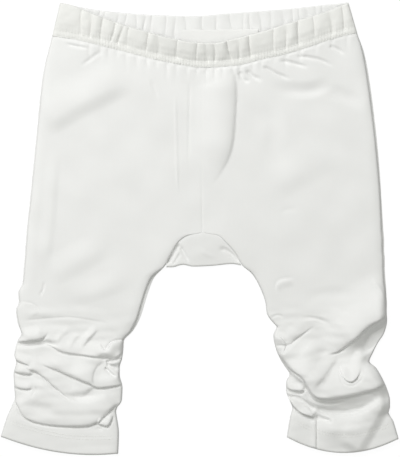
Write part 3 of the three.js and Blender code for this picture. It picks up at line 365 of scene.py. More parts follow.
def nearest_on_path(path, x, y):
    """Signed distance (left positive), share of the length, and the left-hand normal."""
    lengths = np.hypot(*np.diff(path, axis=0).T)
    along = np.concatenate([[0], np.cumsum(lengths)]) / lengths.sum()
    best = np.full(x.shape, np.inf)
    share, nx, ny, side = (np.zeros(x.shape) for _ in range(4))
    for i, (a, b) in enumerate(zip(path, path[1:])):
        dx, dy = b - a
        s = np.clip(((x - a[0]) * dx + (y - a[1]) * dy) / lengths[i] ** 2, 0, 1)
        off_x, off_y = x - a[0] - s * dx, y - a[1] - s * dy
        distance = np.hypot(off_x, off_y)
        closer = distance < best
        best = np.where(closer, distance, best)
        share = np.where(closer, along[i] + s * (along[i + 1] - along[i]), share)
        nx = np.where(closer, -dy / lengths[i], nx)
        ny = np.where(closer, dx / lengths[i], ny)
        side = np.where(closer, np.where(dx * off_y - dy * off_x >= 0, 1, -1), side)
    return best * side, share, nx, ny


spot = nearest_on_path(fold_path(LEFT_FOLDS[0][-1]), np.array([-96.5]), np.array([-80.0]))
print("a spot above it lies", round(float(spot[0][0]), 2), "mm to its left")

# %% [markdown]
# ### The profile of a lip
# From its foot the cloth rises as a quarter of an ellipse to its crest, then fades over its
# reach. The sideways pull grows with the height, so the round face hangs over the foot. The
# profile starts a little to the left of its line, so that the overhang's edge, which is what
# the eye sees from above, falls on the line.

# %% Height and pull of the folds
CREST = 3.8  # distance of a wide lip's crest from its line
OVERHANG = 1.7  # sideways pull of a tall lip
TALL = 2.4  # height from which a lip hangs over fully
GROOVE = 1.2  # depth of the fine groove where a lip meets the cloth below
GROOVE_WIDTH = 0.75


def fold_field(folds, x, y):
    height, pull_x, pull_y = (np.zeros(x.shape) for _ in range(3))
    for kind, rise, reach, drop, fade_in, fade_out, points in folds:
        path = fold_path(points)
        margin = max(reach, drop) + 4
        near = ((x > path[:, 0].min() - margin) & (x < path[:, 0].max() + margin)
                & (y > path[:, 1].min() - margin) & (y < path[:, 1].max() + margin))
        if not near.any():
            continue
        across, share, nx, ny = nearest_on_path(path, x[near], y[near])
        fade = smoothstep(share, 0, fade_in) if fade_in else 1.0
        fade = fade * (smoothstep(1 - share, 0, fade_out) if fade_out else 1.0)
        if kind in ("crease", "ridge"):
            width = np.where(across >= 0, reach, drop)
            bump = 0.5 + 0.5 * np.cos(np.pi * np.clip(np.abs(across) / width, 0, 1))
            height[near] += (-rise if kind == "crease" else rise) * fade * bump
            continue
        crest = min(CREST, 0.32 * reach)
        steep = crest + drop
        firm = 0 if kind == "roll" else min(1, rise / TALL)
        hang = OVERHANG * firm
        lead = drop + 0.2 * hang
        d = across - lead
        up = np.where(d < crest, round_rise(d + drop, steep),
                      0.5 + 0.5 * np.cos(np.pi * np.clip((d - crest) / (reach - crest), 0, 1)))
        tuck = GROOVE * firm * np.exp(-((d + drop + 0.5) / GROOVE_WIDTH) ** 2)
        height[near] += (rise * up - tuck) * fade
        pull = np.where(d < crest, hang * up ** 2, hang * up) * fade
        pull_x[near] -= nx * pull
        pull_y[near] -= ny * pull
    return height, pull_x, pull_y


spot = fold_field(LEFT_FOLDS, np.array([-89.5]), np.array([-100.0]))
print("height of the second tier near its crest:", round(float(spot[0][0]), 2), "mm")

# %% Unevenness of laid cloth


def undulation(x, y, seed, shortest, longest, waves=14):
    """Slow unevenness of laid cloth, about -1 to 1."""
    rng = np.random.default_rng(seed)
    total, weight = np.zeros(x.shape), 0.0
    for _ in range(waves):
        length = math.exp(rng.uniform(math.log(shortest), math.log(longest)))
        angle, phase = rng.uniform(0, math.pi), rng.uniform(0, 2 * math.pi)
        amount = (length / longest) ** 0.7
        total += amount * np.sin(
            2 * math.pi * (x * math.cos(angle) + y * math.sin(angle)) / length + phase)
        weight += amount ** 2
    return total / math.sqrt(2 * weight)


spot = undulation(np.zeros(1), np.zeros(1), seed=3, shortest=18, longest=70)
print("unevenness at the origin:", round(float(spot[0]), 2))

# %% [markdown]
# ## From a grid to a sheet of cloth
# Every piece is one grid of points for its outer face. A Solidify modifier could give it
# thickness, but its inner face would dip into the layer below. So the grid is moved in along
# its normals here, kept above what it lies on, and joined to the outer face by a rim of quads.
# Working in numpy keeps tens of thousands of points quick.

# %% Normals and area of a grid


def grid_normals(points):
    along_rows = np.gradient(points, axis=1)
    down_columns = np.gradient(points, axis=0)
    normal = np.cross(along_rows, down_columns)
    return normal / np.maximum(np.linalg.norm(normal, axis=2, keepdims=True), 1e-9)


def grid_area(points):
    """Area of the outer face, in square metres."""
    across = np.diff(points, axis=1)[:-1]
    down = np.diff(points, axis=0)[:, :-1]
    return float(np.linalg.norm(np.cross(across, down), axis=2).sum()) * MM * MM


square = np.stack([*np.meshgrid([0.0, 10.0], [0.0, 10.0]), np.zeros((2, 2))], axis=2)
print("area of a 10 mm square:", round(grid_area(square), 6), "square metres")

# %% Closed sheets


def sheet_mesh(name, outer, thickness, lowest):
    """A closed sheet: outer face, inner face moved in by its thickness, and a rim."""
    normal = grid_normals(outer)
    if normal[..., 2].mean() < 0:
        normal = -normal
    inner = outer - normal * thickness
    inner[..., 2] = np.maximum(inner[..., 2], lowest)
    return closed_mesh(name, outer, inner)


def closed_mesh(name, outer, inner):
    rows, columns = outer.shape[:2]
    points = np.concatenate([outer.reshape(-1, 3), inner.reshape(-1, 3)])
    points = (points + [SHIFT_X, SHIFT_Y, 0]) * MM
    index = np.arange(rows * columns).reshape(rows, columns)
    a, b = index[:-1, :-1].ravel(), index[:-1, 1:].ravel()
    c, d = index[1:, 1:].ravel(), index[1:, :-1].ravel()
    size = rows * columns
    face = np.stack([a, b, c, d], axis=1)
    back = np.stack([d, c, b, a], axis=1) + size
    rim = np.concatenate([index[0, :], index[1:, -1], index[-1, -2::-1], index[-2:0:-1, 0]])
    after = np.roll(rim, -1)
    edge = np.stack([after, rim, rim + size, after + size], axis=1)
    faces = np.concatenate([face, back, edge])
    mesh = bpy.data.meshes.new(name)
    mesh.from_pydata(points.tolist(), [], faces.tolist())
    mesh.polygons.foreach_set("use_smooth", np.ones(len(faces), dtype=bool))
    ends = np.empty(2 * len(mesh.edges), dtype=np.int64)
    mesh.edges.foreach_get("vertices", ends)
    ends = np.sort(ends.reshape(-1, 2), axis=1)
    loops = np.concatenate([np.stack([rim, after], 1), np.stack([rim, after], 1) + size])
    loops = np.sort(loops, axis=1)
    on_rim = np.isin(ends[:, 0] * 2 * size + ends[:, 1], loops[:, 0] * 2 * size + loops[:, 1])
    mesh.edges.foreach_set("use_edge_sharp", on_rim)
    piece = bpy.data.objects.new(name, mesh)
    bpy.context.scene.collection.objects.link(piece)
    return piece


print("cloth is drawn", SHEET, "mm thick")

# %% Finish a piece


def facing_out(piece):
    """Turns the faces if the closed mesh is inside out."""
    mesh = piece.data
    mesh.calc_loop_triangles()
    corners = np.array([v.co for v in mesh.vertices])
    triangles = np.array([t.vertices for t in mesh.loop_triangles])
    a, b, c = (corners[triangles[:, k]] for k in range(3))
    if np.einsum("ij,ij->i", a, np.cross(b, c)).sum() < 0:
        mesh.flip_normals()
    return piece


def dress(piece, node, material):
    """Gives a finished piece its cloth and its place in the frame."""
    piece.data.materials.append(material)
    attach(piece, "root")
    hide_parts(node)
    print(piece.name, "faces", len(piece.data.polygons))


print("nodes to dress:", len(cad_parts))

# %% [markdown]
# ## Materials
# White jersey is nearly one colour, so what makes it cloth is its surface: fine knitted ribs,
# a soft fuzz that catches light at the edges, and hardly any shine. A photograph of cloth
# could be wrapped on, but it would repeat and blur close up. Ribs worked out from the place
# stay sharp. They are one shader node group, which each material uses with its own values.

# %% The knitted surface as a node group
COURSE_SHARE = 0.75  # height of a knitted loop, as a share of the ribs' spacing
LOOP_RELIEF = 0.18  # relief of the loops, against 1 for the ribs
FUZZ_RELIEF = 0.6


def knit_group():
    group = bpy.data.node_groups.new("knitted_ribs", "ShaderNodeTree")
    sockets = group.interface
    for name, value in (("Rib spacing mm", 0.9), ("Relief", 1.0), ("Mottle", 0.03)):
        sockets.new_socket(name, in_out="INPUT", socket_type="NodeSocketFloat")
        sockets.items_tree[name].default_value = value
    sockets.new_socket("Cloth colour", in_out="INPUT", socket_type="NodeSocketColor")
    sockets.new_socket("Colour", in_out="OUTPUT", socket_type="NodeSocketColor")
    sockets.new_socket("Roughness", in_out="OUTPUT", socket_type="NodeSocketFloat")
    sockets.new_socket("Height", in_out="OUTPUT", socket_type="NodeSocketFloat")
    nodes, links = group.nodes, group.links
    given, made = nodes.new("NodeGroupInput"), nodes.new("NodeGroupOutput")
    place = nodes.new("ShaderNodeTexCoord")
    fuzz = nodes.new("ShaderNodeTexNoise")
    slow = nodes.new("ShaderNodeTexNoise")
    for texture, scale, detail in ((fuzz, 900, 4), (slow, 45, 3)):
        texture.inputs["Scale"].default_value = scale
        texture.inputs["Detail"].default_value = detail
        links.new(place.outputs["Object"], texture.inputs["Vector"])

    def value_of(operation, a, b=None, c=None):
        node = nodes.new("ShaderNodeMath")
        node.operation = operation
        for socket, value in zip(node.inputs, (a, b, c)):
            if isinstance(value, (int, float)):
                socket.default_value = value
            elif value is not None:
                links.new(value, socket)
        return node.outputs[0]

    axes = nodes.new("ShaderNodeSeparateXYZ")
    links.new(place.outputs["Object"], axes.inputs[0])
    rib = value_of("MULTIPLY", given.outputs["Rib spacing mm"], MM)
    across = value_of("DIVIDE", axes.outputs["X"], rib)
    column = value_of("PINGPONG", across, 0.5)
    course = value_of("DIVIDE", axes.outputs["Y"], value_of("MULTIPLY", rib, COURSE_SHARE))
    loop = value_of("SINE", value_of("MULTIPLY", value_of("ADD", course, column), 2 * math.pi))
    ribbed = value_of("MULTIPLY_ADD", loop, LOOP_RELIEF, value_of("SQRT", column))
    both = value_of("MULTIPLY_ADD", fuzz.outputs["Fac"], FUZZ_RELIEF, ribbed)
    relief = value_of("MULTIPLY", both, given.outputs["Relief"])
    links.new(relief, made.inputs["Height"])
    shade = nodes.new("ShaderNodeMapRange")
    shade.inputs["From Min"].default_value = 0.3
    shade.inputs["From Max"].default_value = 0.7
    shade.inputs["To Min"].default_value = 1.0
    darkest = value_of("SUBTRACT", 1.0, given.outputs["Mottle"])
    links.new(slow.outputs["Fac"], shade.inputs["Value"])
    links.new(darkest, shade.inputs["To Max"])
    tint = nodes.new("ShaderNodeVectorMath")
    tint.operation = "SCALE"
    links.new(given.outputs["Cloth colour"], tint.inputs[0])
    links.new(shade.outputs["Result"], tint.inputs["Scale"])
    links.new(tint.outputs["Vector"], made.inputs["Colour"])
    rough = nodes.new("ShaderNodeMapRange")
    rough.inputs["To Min"].default_value = 0.86
    rough.inputs["To Max"].default_value = 0.96
    links.new(fuzz.outputs["Fac"], rough.inputs["Value"])
    links.new(rough.outputs["Result"], made.inputs["Roughness"])
    return group


KNIT = knit_group()
print("node group:", KNIT.name)

# %% Cloth, label and thread materials


def cloth_material(name, colour, rib_mm, relief, mottle, bump_mm, sheen):
    material = bpy.data.materials.new(name)
    material.use_nodes = True
    nodes, links = material.node_tree.nodes, material.node_tree.links
    shader = nodes["Principled BSDF"]
    knit = nodes.new("ShaderNodeGroup")
    knit.node_tree = KNIT
    knit.inputs["Rib spacing mm"].default_value = rib_mm
    knit.inputs["Relief"].default_value = relief
    knit.inputs["Mottle"].default_value = mottle
    knit.inputs["Cloth colour"].default_value = (*colour, 1)
    bump = nodes.new("ShaderNodeBump")
    bump.inputs["Distance"].default_value = bump_mm * MM
    bump.inputs["Strength"].default_value = 0.5
    links.new(knit.outputs["Height"], bump.inputs["Height"])
    links.new(bump.outputs["Normal"], shader.inputs["Normal"])
    links.new(knit.outputs["Colour"], shader.inputs["Base Color"])
    links.new(knit.outputs["Roughness"], shader.inputs["Roughness"])
    shader.inputs["Sheen Weight"].default_value = sheen
    shader.inputs["Sheen Roughness"].default_value = 0.5
    shader.inputs["Specular IOR Level"].default_value = 0.2
    return material


JERSEY = cloth_material("white_jersey", (0.83, 0.83, 0.825), rib_mm=0.9, relief=1.0,
                        mottle=0.03, bump_mm=0.05, sheen=0.12)
# The front band's jersey is the white jersey made darker and yellower: painted shade, and partly
# the duller tone of the doubled band with the elastic inside.
BAND_JERSEY_TONE_AND_SHADE = cloth_material("band_jersey_tone_and_shade", (0.805, 0.805, 0.785), rib_mm=0.9, relief=1.0,
                             mottle=0.03, bump_mm=0.05, sheen=0.1)
RIBBON = cloth_material("label_ribbon", (0.82, 0.82, 0.81), rib_mm=0.35, relief=0.5,
                        mottle=0.01, bump_mm=0.03, sheen=0.0)
THREAD = cloth_material("white_thread", (0.83, 0.83, 0.81), rib_mm=0.3, relief=0.6,
                        mottle=0.0, bump_mm=0.03, sheen=0.0)
print("materials:", [m.name for m in (JERSEY, BAND_JERSEY_TONE_AND_SHADE, RIBBON, THREAD)])

# %% [markdown]
# ## Front panels
# The front of each leg is one panel, sewn to its neighbours at the centre and the sides. It
# follows its cross lines. A plane with a displacement map could carry the folds too, but its
# outline would stay straight. The grid is finer at the waist and over the gathered lower leg,
# where folds are a few millimetres wide. Towards a folded side the cloth rounds down to the
# layer below, at the centre seam it only dips, and under the waistband small puckers die away.

# %% Rows and columns of a leg panel
WAIST_REACH = 2  # cross lines over which the rows follow the waist seam
FINE_FROM = 12  # cross line at the knee, below which the rows lie close
PANEL_COLUMNS = 128


def cross_lines(leg):
    at = np.arange(len(leg))
    lines = {name: smooth_line(at, column)
             for name, column in zip(STATION_COLUMNS, zip(*leg))}
    return lambda places: {name: line(places)[:, None] for name, line in lines.items()}


def row_places(leg, first, last, step_at):
    """Row numbers down a panel, a step apart in millimetres."""
    places = [np.array([float(first)])]
    for i in range(first, last):
        a, b = leg[i], leg[i + 1]
        length = max(math.dist(a[:2], b[:2]), math.dist(a[2:4], b[2:4]))
        count = max(2, math.ceil(length / step_at(i)))
        places.append(i + np.arange(1, count + 1) / count)
    return np.concatenate(places)


def front_step(i):
    """Distance between rows, in millimetres: fine at the waist and below the knee."""
    if i < WAIST_REACH:
        return 0.75
    return 1.35 if i < FINE_FROM else 0.68


def edge_close_shares(count, closer=0.35):
    """Places across a panel, 0 to 1, closer together at its two sides."""
    t = np.linspace(0, 1, count)
    return (1 - closer) * t + closer * (0.5 - 0.5 * np.cos(np.pi * t))


for side, leg in LEGS.items():
    print(side, "leg rows:", len(row_places(leg, 0, len(leg) - 2, front_step)))

# %% Waist seam and its puckers
PUCKER_WIDTH, PUFF_WIDTH = 1.1, 2.0
GATHER_FEET = [-84, -77.5, -69.5, -64, -58, -51.5, -44, -37, -30.5, -23, -16.5, -9, -2, 4.5,
               10.5, 16, 23, 28, 37, 43, 52, 60, 70, 81, 92.5, 103]


def seam_sag(leg, x):
    """How far the waist seam lies above the straight line between its two ends."""
    outer_x, outer_y, inner_x, inner_y = leg[0][:4]
    share = np.clip((x - outer_x) / (inner_x - outer_x), 0, 1)
    return front_seam_y(x) - outer_y - (inner_y - outer_y) * share


def panel_plan(leg, line, places, shares):
    """Places of a panel's points from above. The top rows follow the waist seam."""
    x = line["outer_x"] + (line["inner_x"] - line["outer_x"]) * shares
    straight = line["outer_y"] + (line["inner_y"] - line["outer_y"]) * shares
    sag = seam_sag(leg, x) * np.clip(1 - places[:, None] / WAIST_REACH, 0, 1) ** 2
    return x, straight + sag - 4 * line["bow"] * shares * (1 - shares)


def waist_puckers(x, y):
    """Small gathers that run on below the waistband's seam."""
    below = front_seam_y(x) - y
    total = np.zeros(x.shape)
    for i, foot in enumerate(GATHER_FEET):
        depth, length = 0.35 + 0.25 * ((i * 7) % 5) / 4, 7 + 9 * ((i * 3) % 4) / 3
        fade = np.clip(1 - below / length, 0, 1) ** 1.5
        total -= 1.9 * depth * np.exp(-((x - foot) / PUCKER_WIDTH) ** 2) * fade
        total += 0.8 * depth * np.exp(-((x - foot - 3) / PUFF_WIDTH) ** 2) * fade
    return total


print("sag of the left waist seam's middle:", round(float(seam_sag(LEFT_LEG, -50.0)), 2), "mm")

# %% Outer face of a leg's front
EDGE_ROLL = 7.0
RIM_ROLL = 1.3  # rounding of the very edge of a sheet
SEAM_DIP = 0.22  # depth of the groove along a flat seam
SEAM_TUCK = 0.8  # how far the front's top edge runs under the waistband
SEAM_SINK = 0.4  # how much lower the cloth lies at the waist seam
SLACK, RUCHE = 0.5, 0.35  # unevenness of the laid cloth and of the gathered leg
RUCHE_FIRST, RUCHE_LAST = 11, 15  # cross lines between which the ruching sets in
LEAST_RISE = 0.35


def front_grid(side, places, shares, hem=False):
    """Outer face of a leg's front between two cross lines, in millimetres."""
    leg = LEGS[side]
    line = cross_lines(leg)(places)
    toward_centre = (1 - line["roll"]) * SEAM_GAP * 0.5
    line["inner_x"] = line["inner_x"] + (toward_centre if side == "left" else -toward_centre)
    x, y = panel_plan(leg, line, places, shares[None, :])
    width = np.hypot(line["inner_x"] - line["outer_x"], line["inner_y"] - line["outer_y"])
    from_outer, from_inner = shares * width, (1 - shares) * width
    outer_rise = round_rise(from_outer, EDGE_ROLL)
    inner_rise = 1 - line["roll"] * (1 - round_rise(from_inner, EDGE_ROLL))
    rises = outer_rise * inner_rise
    height, pull_x, pull_y = fold_field(LEFT_FOLDS + RIGHT_FOLDS, x, y)
    last = len(leg) - 2
    gathered = smoothstep(places, RUCHE_FIRST, RUCHE_LAST)[:, None]
    to_hem = smoothstep(places, last - 1.2, last)[:, None]
    slack = SLACK * undulation(x, y, seed=3, shortest=18, longest=70) * (1 - 0.6 * to_hem)
    seed = 11 if side == "left" else 17
    ruche = RUCHE * undulation(x * 0.45, y, seed, shortest=5, longest=13)
    ruche = ruche * gathered * (1 - 0.7 * to_hem)
    rise = np.maximum(line["crown"] + height + slack + ruche, LEAST_RISE)
    base = EDGE_TOP + (HEM_CLOTH - CLOTH) * 1.2 * to_hem
    rim = round_rise(from_outer, RIM_ROLL) * (1 - line["roll"] * (
        1 - round_rise(from_inner, RIM_ROLL)))
    floor_of_rim = FRONT_REST + (HEM_CLOTH - CLOTH) * to_hem + 0.1
    z = floor_of_rim + (base - floor_of_rim) * rim + rise * rises
    flat_seam = (1 - line["roll"]) * np.exp(-(from_inner / 0.7) ** 2)
    z = z - SEAM_DIP * (0.15 + 0.85 * smoothstep(-y, -50, -15)) * flat_seam
    if not hem:
        below = np.maximum(front_seam_y(x) - y, 0)
        away = smoothstep(below, 0, 2.5)
        at_seam = floor_of_rim + (base - floor_of_rim) * rim + (line["crown"] - SEAM_SINK) * rises
        z = (z + waist_puckers(x, y) * rises) * away + at_seam * (1 - away)
        y = y + SEAM_TUCK * (places[:, None] == 0)
    return np.stack([x + pull_x * rises, y + pull_y * rises, z], axis=2)


print("panels round down to", round(FRONT_REST, 2), "mm over", EDGE_ROLL, "mm")

# %% Make the front panels
for side, leg in LEGS.items():
    places = row_places(leg, 0, len(leg) - 2, front_step)
    grid = front_grid(side, places, edge_close_shares(PANEL_COLUMNS))
    panel = facing_out(sheet_mesh(f"front_{side}_cloth", grid, SHEET, FRONT_REST - 0.1))
    dress(panel, f"front_{side}", JERSEY)

# %% [markdown]
# ## Turned hems
# The hem is the panel's own cloth, turned up inside and stitched. The turn could be modelled
# as a real fold, but only its outside shows, so it goes on from the same cross lines, a little
# thicker, and ends in a soft folded edge.

# %% Make the front hems
HEM_LENGTH = 15.0
HEM_SHEET = 1.4
HEM_ROUNDING = 1.6


def hem_grid(side):
    depth = np.concatenate([np.linspace(0, 0.85, 16), 1 - 0.15 * np.linspace(1, 0, 9)[1:] ** 2])
    places = len(LEGS[side]) - 2 + depth
    grid = front_grid(side, places, edge_close_shares(PANEL_COLUMNS), hem=True)
    to_edge = ((1 - depth) * HEM_LENGTH)[:, None]
    low = HEM_CLOTH + SEAM_GAP + 0.3
    grid[..., 2] = low + (grid[..., 2] - low) * round_rise(to_edge + 0.05, HEM_ROUNDING)
    return grid


for side in LEGS:
    grid = hem_grid(side)
    hem = facing_out(sheet_mesh(f"hem_front_{side}_cloth", grid, HEM_SHEET, HEM_CLOTH + 0.15))
    dress(hem, f"hem_front_{side}", JERSEY)

# %% [markdown]
# ## The hidden backs
# The back lies flat on the surface. It could be ruched as the front is, but only its rim
# shows, past the front at the right side and at the left inseam. So it is a plain sheet with
# rounded edges, flat underneath.

# %% Make the back panels and back hems
BACK_STEP = 3.0  # distance between the back's rows
BACK_RIM = 0.9  # rounding of the back's edge


def back_grid(side, places, shares, top, hem=False):
    """Upper and lower faces of a flat back piece, with a rounded rim."""
    leg = LEGS[side]
    line = cross_lines(leg)(places)
    way = -1 if side == "left" else 1
    line["outer_x"] = line["outer_x"] + way * line["back_out"]
    line["inner_x"] = line["inner_x"] - way * line["back_in"]
    x, y = panel_plan(leg, line, places, shares[None, :])
    if not hem:
        corner = BACK_SEAM[0][0] if side == "left" else BACK_SEAM[-1][0]
        first = corner + (line["inner_x"][0, 0] - corner) * shares
        rise = (back_seam_y(first) - SEAM_GAP) - y[0]
        fade = np.clip(1 - places[:, None], 0, 1)
        x = x + (first - x[0]) * fade
        y = y + rise * fade
    width = np.hypot(line["inner_x"] - line["outer_x"], line["inner_y"] - line["outer_y"])
    rim = (round_rise(shares * width + 0.02, BACK_RIM)
           * round_rise((1 - shares) * width + 0.02, BACK_RIM))
    upper = np.stack([x, y, top * (0.55 + 0.45 * rim)], axis=2)
    lower = np.stack([x, y, top * 0.3 * (1 - rim)], axis=2)
    return upper, lower


def lay_back(name, upper, lower):
    piece = facing_out(closed_mesh(f"{name}_cloth", upper, lower))
    dress(piece, name, JERSEY)


for side, leg in LEGS.items():
    places = row_places(leg, 0, len(leg) - 2, lambda i: BACK_STEP)
    upper, lower = back_grid(side, places, edge_close_shares(40, 0.7), CLOTH)
    lay_back(f"back_{side}", upper, lower)
    depth = np.concatenate([np.linspace(0, 0.9, 8), [0.95, 0.98, 1]])
    places = len(leg) - 2 + depth
    upper, lower = back_grid(side, places, edge_close_shares(60, 0.5), HEM_CLOTH, hem=True)
    edge = round_rise((1 - depth[:, None, None]) * HEM_LENGTH + 0.05, 1.0)
    middle = HEM_CLOTH * 0.45
    for face in (upper, lower):
        face[..., 2:] = middle + (face[..., 2:] - middle) * edge
    lay_back(f"hem_back_{side}", upper, lower)

# %% [markdown]
# ## Crotch gusset
# The gusset is a lens of jersey let into the inseams and folded round the crotch. Two flat
# pieces would leave an open edge where the real cloth is folded. So its sections run from the
# front seam over the fold to the back seam, and front and back are one piece with a soft
# round edge between them.

# %% Grid of the gusset
GUSSET_FOLD_ENDS = (-23.6, 28.8)
GUSSET_BEND = 1.5  # depth of the rounding at the fold
FRONT_SHARES = np.concatenate([np.linspace(0, 0.9, 16), [0.96, 1]])
BACK_SHARES = (1, 0.66, 0.33, 0)
BEND_ANGLES = np.radians(np.linspace(80, -80, 11))


def gusset_grid(per_half=34):
    lines = {side: cross_lines(leg) for side, leg in LEGS.items()}
    up = np.linspace(0.3, GUSSET_LAST - GUSSET_FIRST, per_half)
    left = lines["left"](GUSSET_LAST - up)
    right = lines["right"]((GUSSET_LAST - up)[::-1])
    seam_x = np.concatenate([left["inner_x"], right["inner_x"][1:]])[:, 0]
    seam_y = np.concatenate([left["inner_y"], right["inner_y"][1:]])[:, 0]
    roll = np.concatenate([left["roll"], right["roll"][1:]])[:, 0]
    crown = np.concatenate([left["crown"], right["crown"][1:]])[:, 0]
    t = np.linspace(0, 1, len(seam_x))
    fold_x = GUSSET_FOLD_ENDS[0] + (GUSSET_FOLD_ENDS[1] - GUSSET_FOLD_ENDS[0]) * t
    fold_y = crotch_fold_y(fold_x)
    dx, dy = fold_x - seam_x, fold_y - seam_y
    length = np.hypot(dx, dy)
    dx, dy = dx / length, dy / length
    rows = []
    rest = FRONT_REST + 0.1
    seam_top = rest + (EDGE_TOP - rest + crown) * (1 - roll)
    for share in FRONT_SHARES:
        distance = (length - GUSSET_BEND) * share
        x, y = seam_x + dx * distance, seam_y + dy * distance
        crease, _, _ = fold_field(GUSSET_FOLDS, x, y)
        z = seam_top + (EDGE_TOP + 0.2 - seam_top) * share ** 2 + crease * (1 - 0.6 * share)
        z = z + 0.15 * undulation(x, y, 23, 8, 30) - SEAM_DIP * np.exp(-(distance / 0.7) ** 2)
        rows.append(np.stack([x, y, np.maximum(z, FRONT_REST + 0.5)], axis=1))
    rim = rows[-1][:, 2]
    for angle in BEND_ANGLES:
        distance = length - GUSSET_BEND + GUSSET_BEND * math.cos(angle)
        z = rim / 2 + rim / 2 * math.sin(angle)
        rows.append(np.stack([seam_x + dx * distance, seam_y + dy * distance, z], axis=1))
    for share in BACK_SHARES:
        distance = (length - GUSSET_BEND) * share
        rows.append(np.stack([seam_x + dx * distance, seam_y + dy * distance, 0 * rim], axis=1))
    return np.stack(rows)


print("rows of the gusset:", len(FRONT_SHARES), len(BEND_ANGLES), len(BACK_SHARES))

# %% Make the gusset
outer = gusset_grid()
bend_first, bend_count = len(FRONT_SHARES), len(BEND_ANGLES)
bend_rows = slice(bend_first, bend_first + bend_count)
inner = outer.copy()
inner[:bend_first, :, 2] = np.maximum(outer[:bend_first, :, 2] - SHEET, FRONT_REST)
tuck = np.linspace(0, np.pi, bend_count)[:, None]
toward = outer[bend_first - 1] - outer[bend_first + bend_count // 2]
toward[:, 2] = 0
toward /= np.maximum(np.linalg.norm(toward, axis=1, keepdims=True), 1e-6)
inner[bend_rows, :, :2] += toward[None, :, :2] * SHEET * np.sin(tuck)[..., None]
low, high = CLOTH * 0.7, inner[bend_first - 1, :, 2]
inner[bend_rows, :, 2] = (high + low) / 2 + (high - low) / 2 * np.cos(tuck)
inner[bend_first + bend_count:, :, 2] = low
gusset = facing_out(closed_mesh("gusset_cloth", outer, inner))
dress(gusset, "gusset", JERSEY)
print("gusset area", round(grid_area(outer), 5))

# %% [markdown]
# ## Waistband
# Elastic inside the doubled band draws the jersey into gathers. A repeating wave would look
# pressed by a machine, so every gather has its own place, slant and depth in a table. Between
# two gathers the cloth stands up in a little arch, and at each it is pinched into a sharp
# crease. The lowest millimetres are pressed flat by two rows of coverstitch.

# %% Gathers of the band
FRONT_GATHERS = [
    (-82, -84, 0.7), (-76, -77.5, 0.8), (-67.5, -69.5, 0.7), (-59, -64, 0.9), (-53.5, -58, 1.0),
    (-49, -51.5, 0.6), (-36.5, -37, 1.1), (-28, -30.5, 0.4), (-15, -16.5, 0.8), (-2, -2, 0.5),
    (5, 4.5, 0.8), (9.5, 10.5, 0.9), (19.5, 23, 1.1), (26, 28, 0.6), (34.5, 37, 1.1),
    (52, 52, 0.6), (60, 60, 0.6), (69, 70, 1.1), (78.5, 81, 0.5), (91, 92.5, 0.9), (99, 103, 1.0)]
BACK_GATHERS = [
    -80, -75, -70, -66, -57.5, -51, -44, -38.5, -33, -24, -16.5, -10, 2, 11, 21.5, 30, 35, 41.5,
    49.5, 57.5, 64, 69.5, 74.5, 80, 85.5, 93]
CREASE_WIDTH, PINCH_WIDTH = 0.75, 2.4
PINCH = 1.15  # depth of the deepest gathers
WANDER = 0.7  # how far a gather's line strays sideways
STRIP = 4.2  # height of the stitched strip at the band's seam


def gather_profile(x, down, gathers, ends):
    """Height of the gathered cloth; a crease is deepest at its top, its foot or all along."""
    x = x + WANDER * np.sin(3.1 * down + 0.37 * x)
    at = np.array([ends[0]] + [g[0] for g in gathers] + [ends[1]])
    i = np.clip(np.searchsorted(at, x, side="right") - 1, 0, len(at) - 2)
    span = at[i + 1] - at[i]
    fullness = 0.3 + 0.6 * ((i * 7) % 5) / 4
    share = np.clip((x - at[i]) / span, 0, 1) ** np.where(i % 3 == 0, 1.5, 0.75)
    arch = fullness * np.minimum(1, span / 9) * np.sin(np.pi * share) ** 1.2
    for number, (place, *_, depth) in enumerate(gathers):
        dies_at = (0.5, 0.0, -0.5)[number * 5 % 3]
        along = 1 - 0.75 * smoothstep(dies_at * (down - 0.5) * 4, 0, 1)
        narrow = CREASE_WIDTH * (0.8, 1.5, 1.1)[number % 3]
        near = np.exp(-((x - place) / narrow) ** 2)
        wide = np.exp(-((x - place) / PINCH_WIDTH) ** 2)
        arch = arch - PINCH * depth * along * (0.6 * near + 0.4 * wide)
    return arch


print("gathers in front and behind:", len(FRONT_GATHERS), len(BACK_GATHERS))

# %% Grid of the front band
PRESSED = 0.55  # how much lower the strip lies than the gathers
PITCH = 2.1  # distance from one stitch to the next
STITCH_RIPPLE = 0.09
MIDDLE_BULGE = 3.2
FRONT_BAND_COLUMNS, BACK_BAND_COLUMNS = 520, 460


def band_rim(from_top, to_end):
    return round_rise(from_top + 0.03, 1.1) * round_rise(to_end + 0.03, 0.9)


def band_plan(top_x, foot_x, down, top_y, foot_y):
    x = top_x[None, :] + (foot_x - top_x)[None, :] * down[:, None]
    y = top_y[None, :] + (foot_y - top_y)[None, :] * down[:, None]
    return x, y


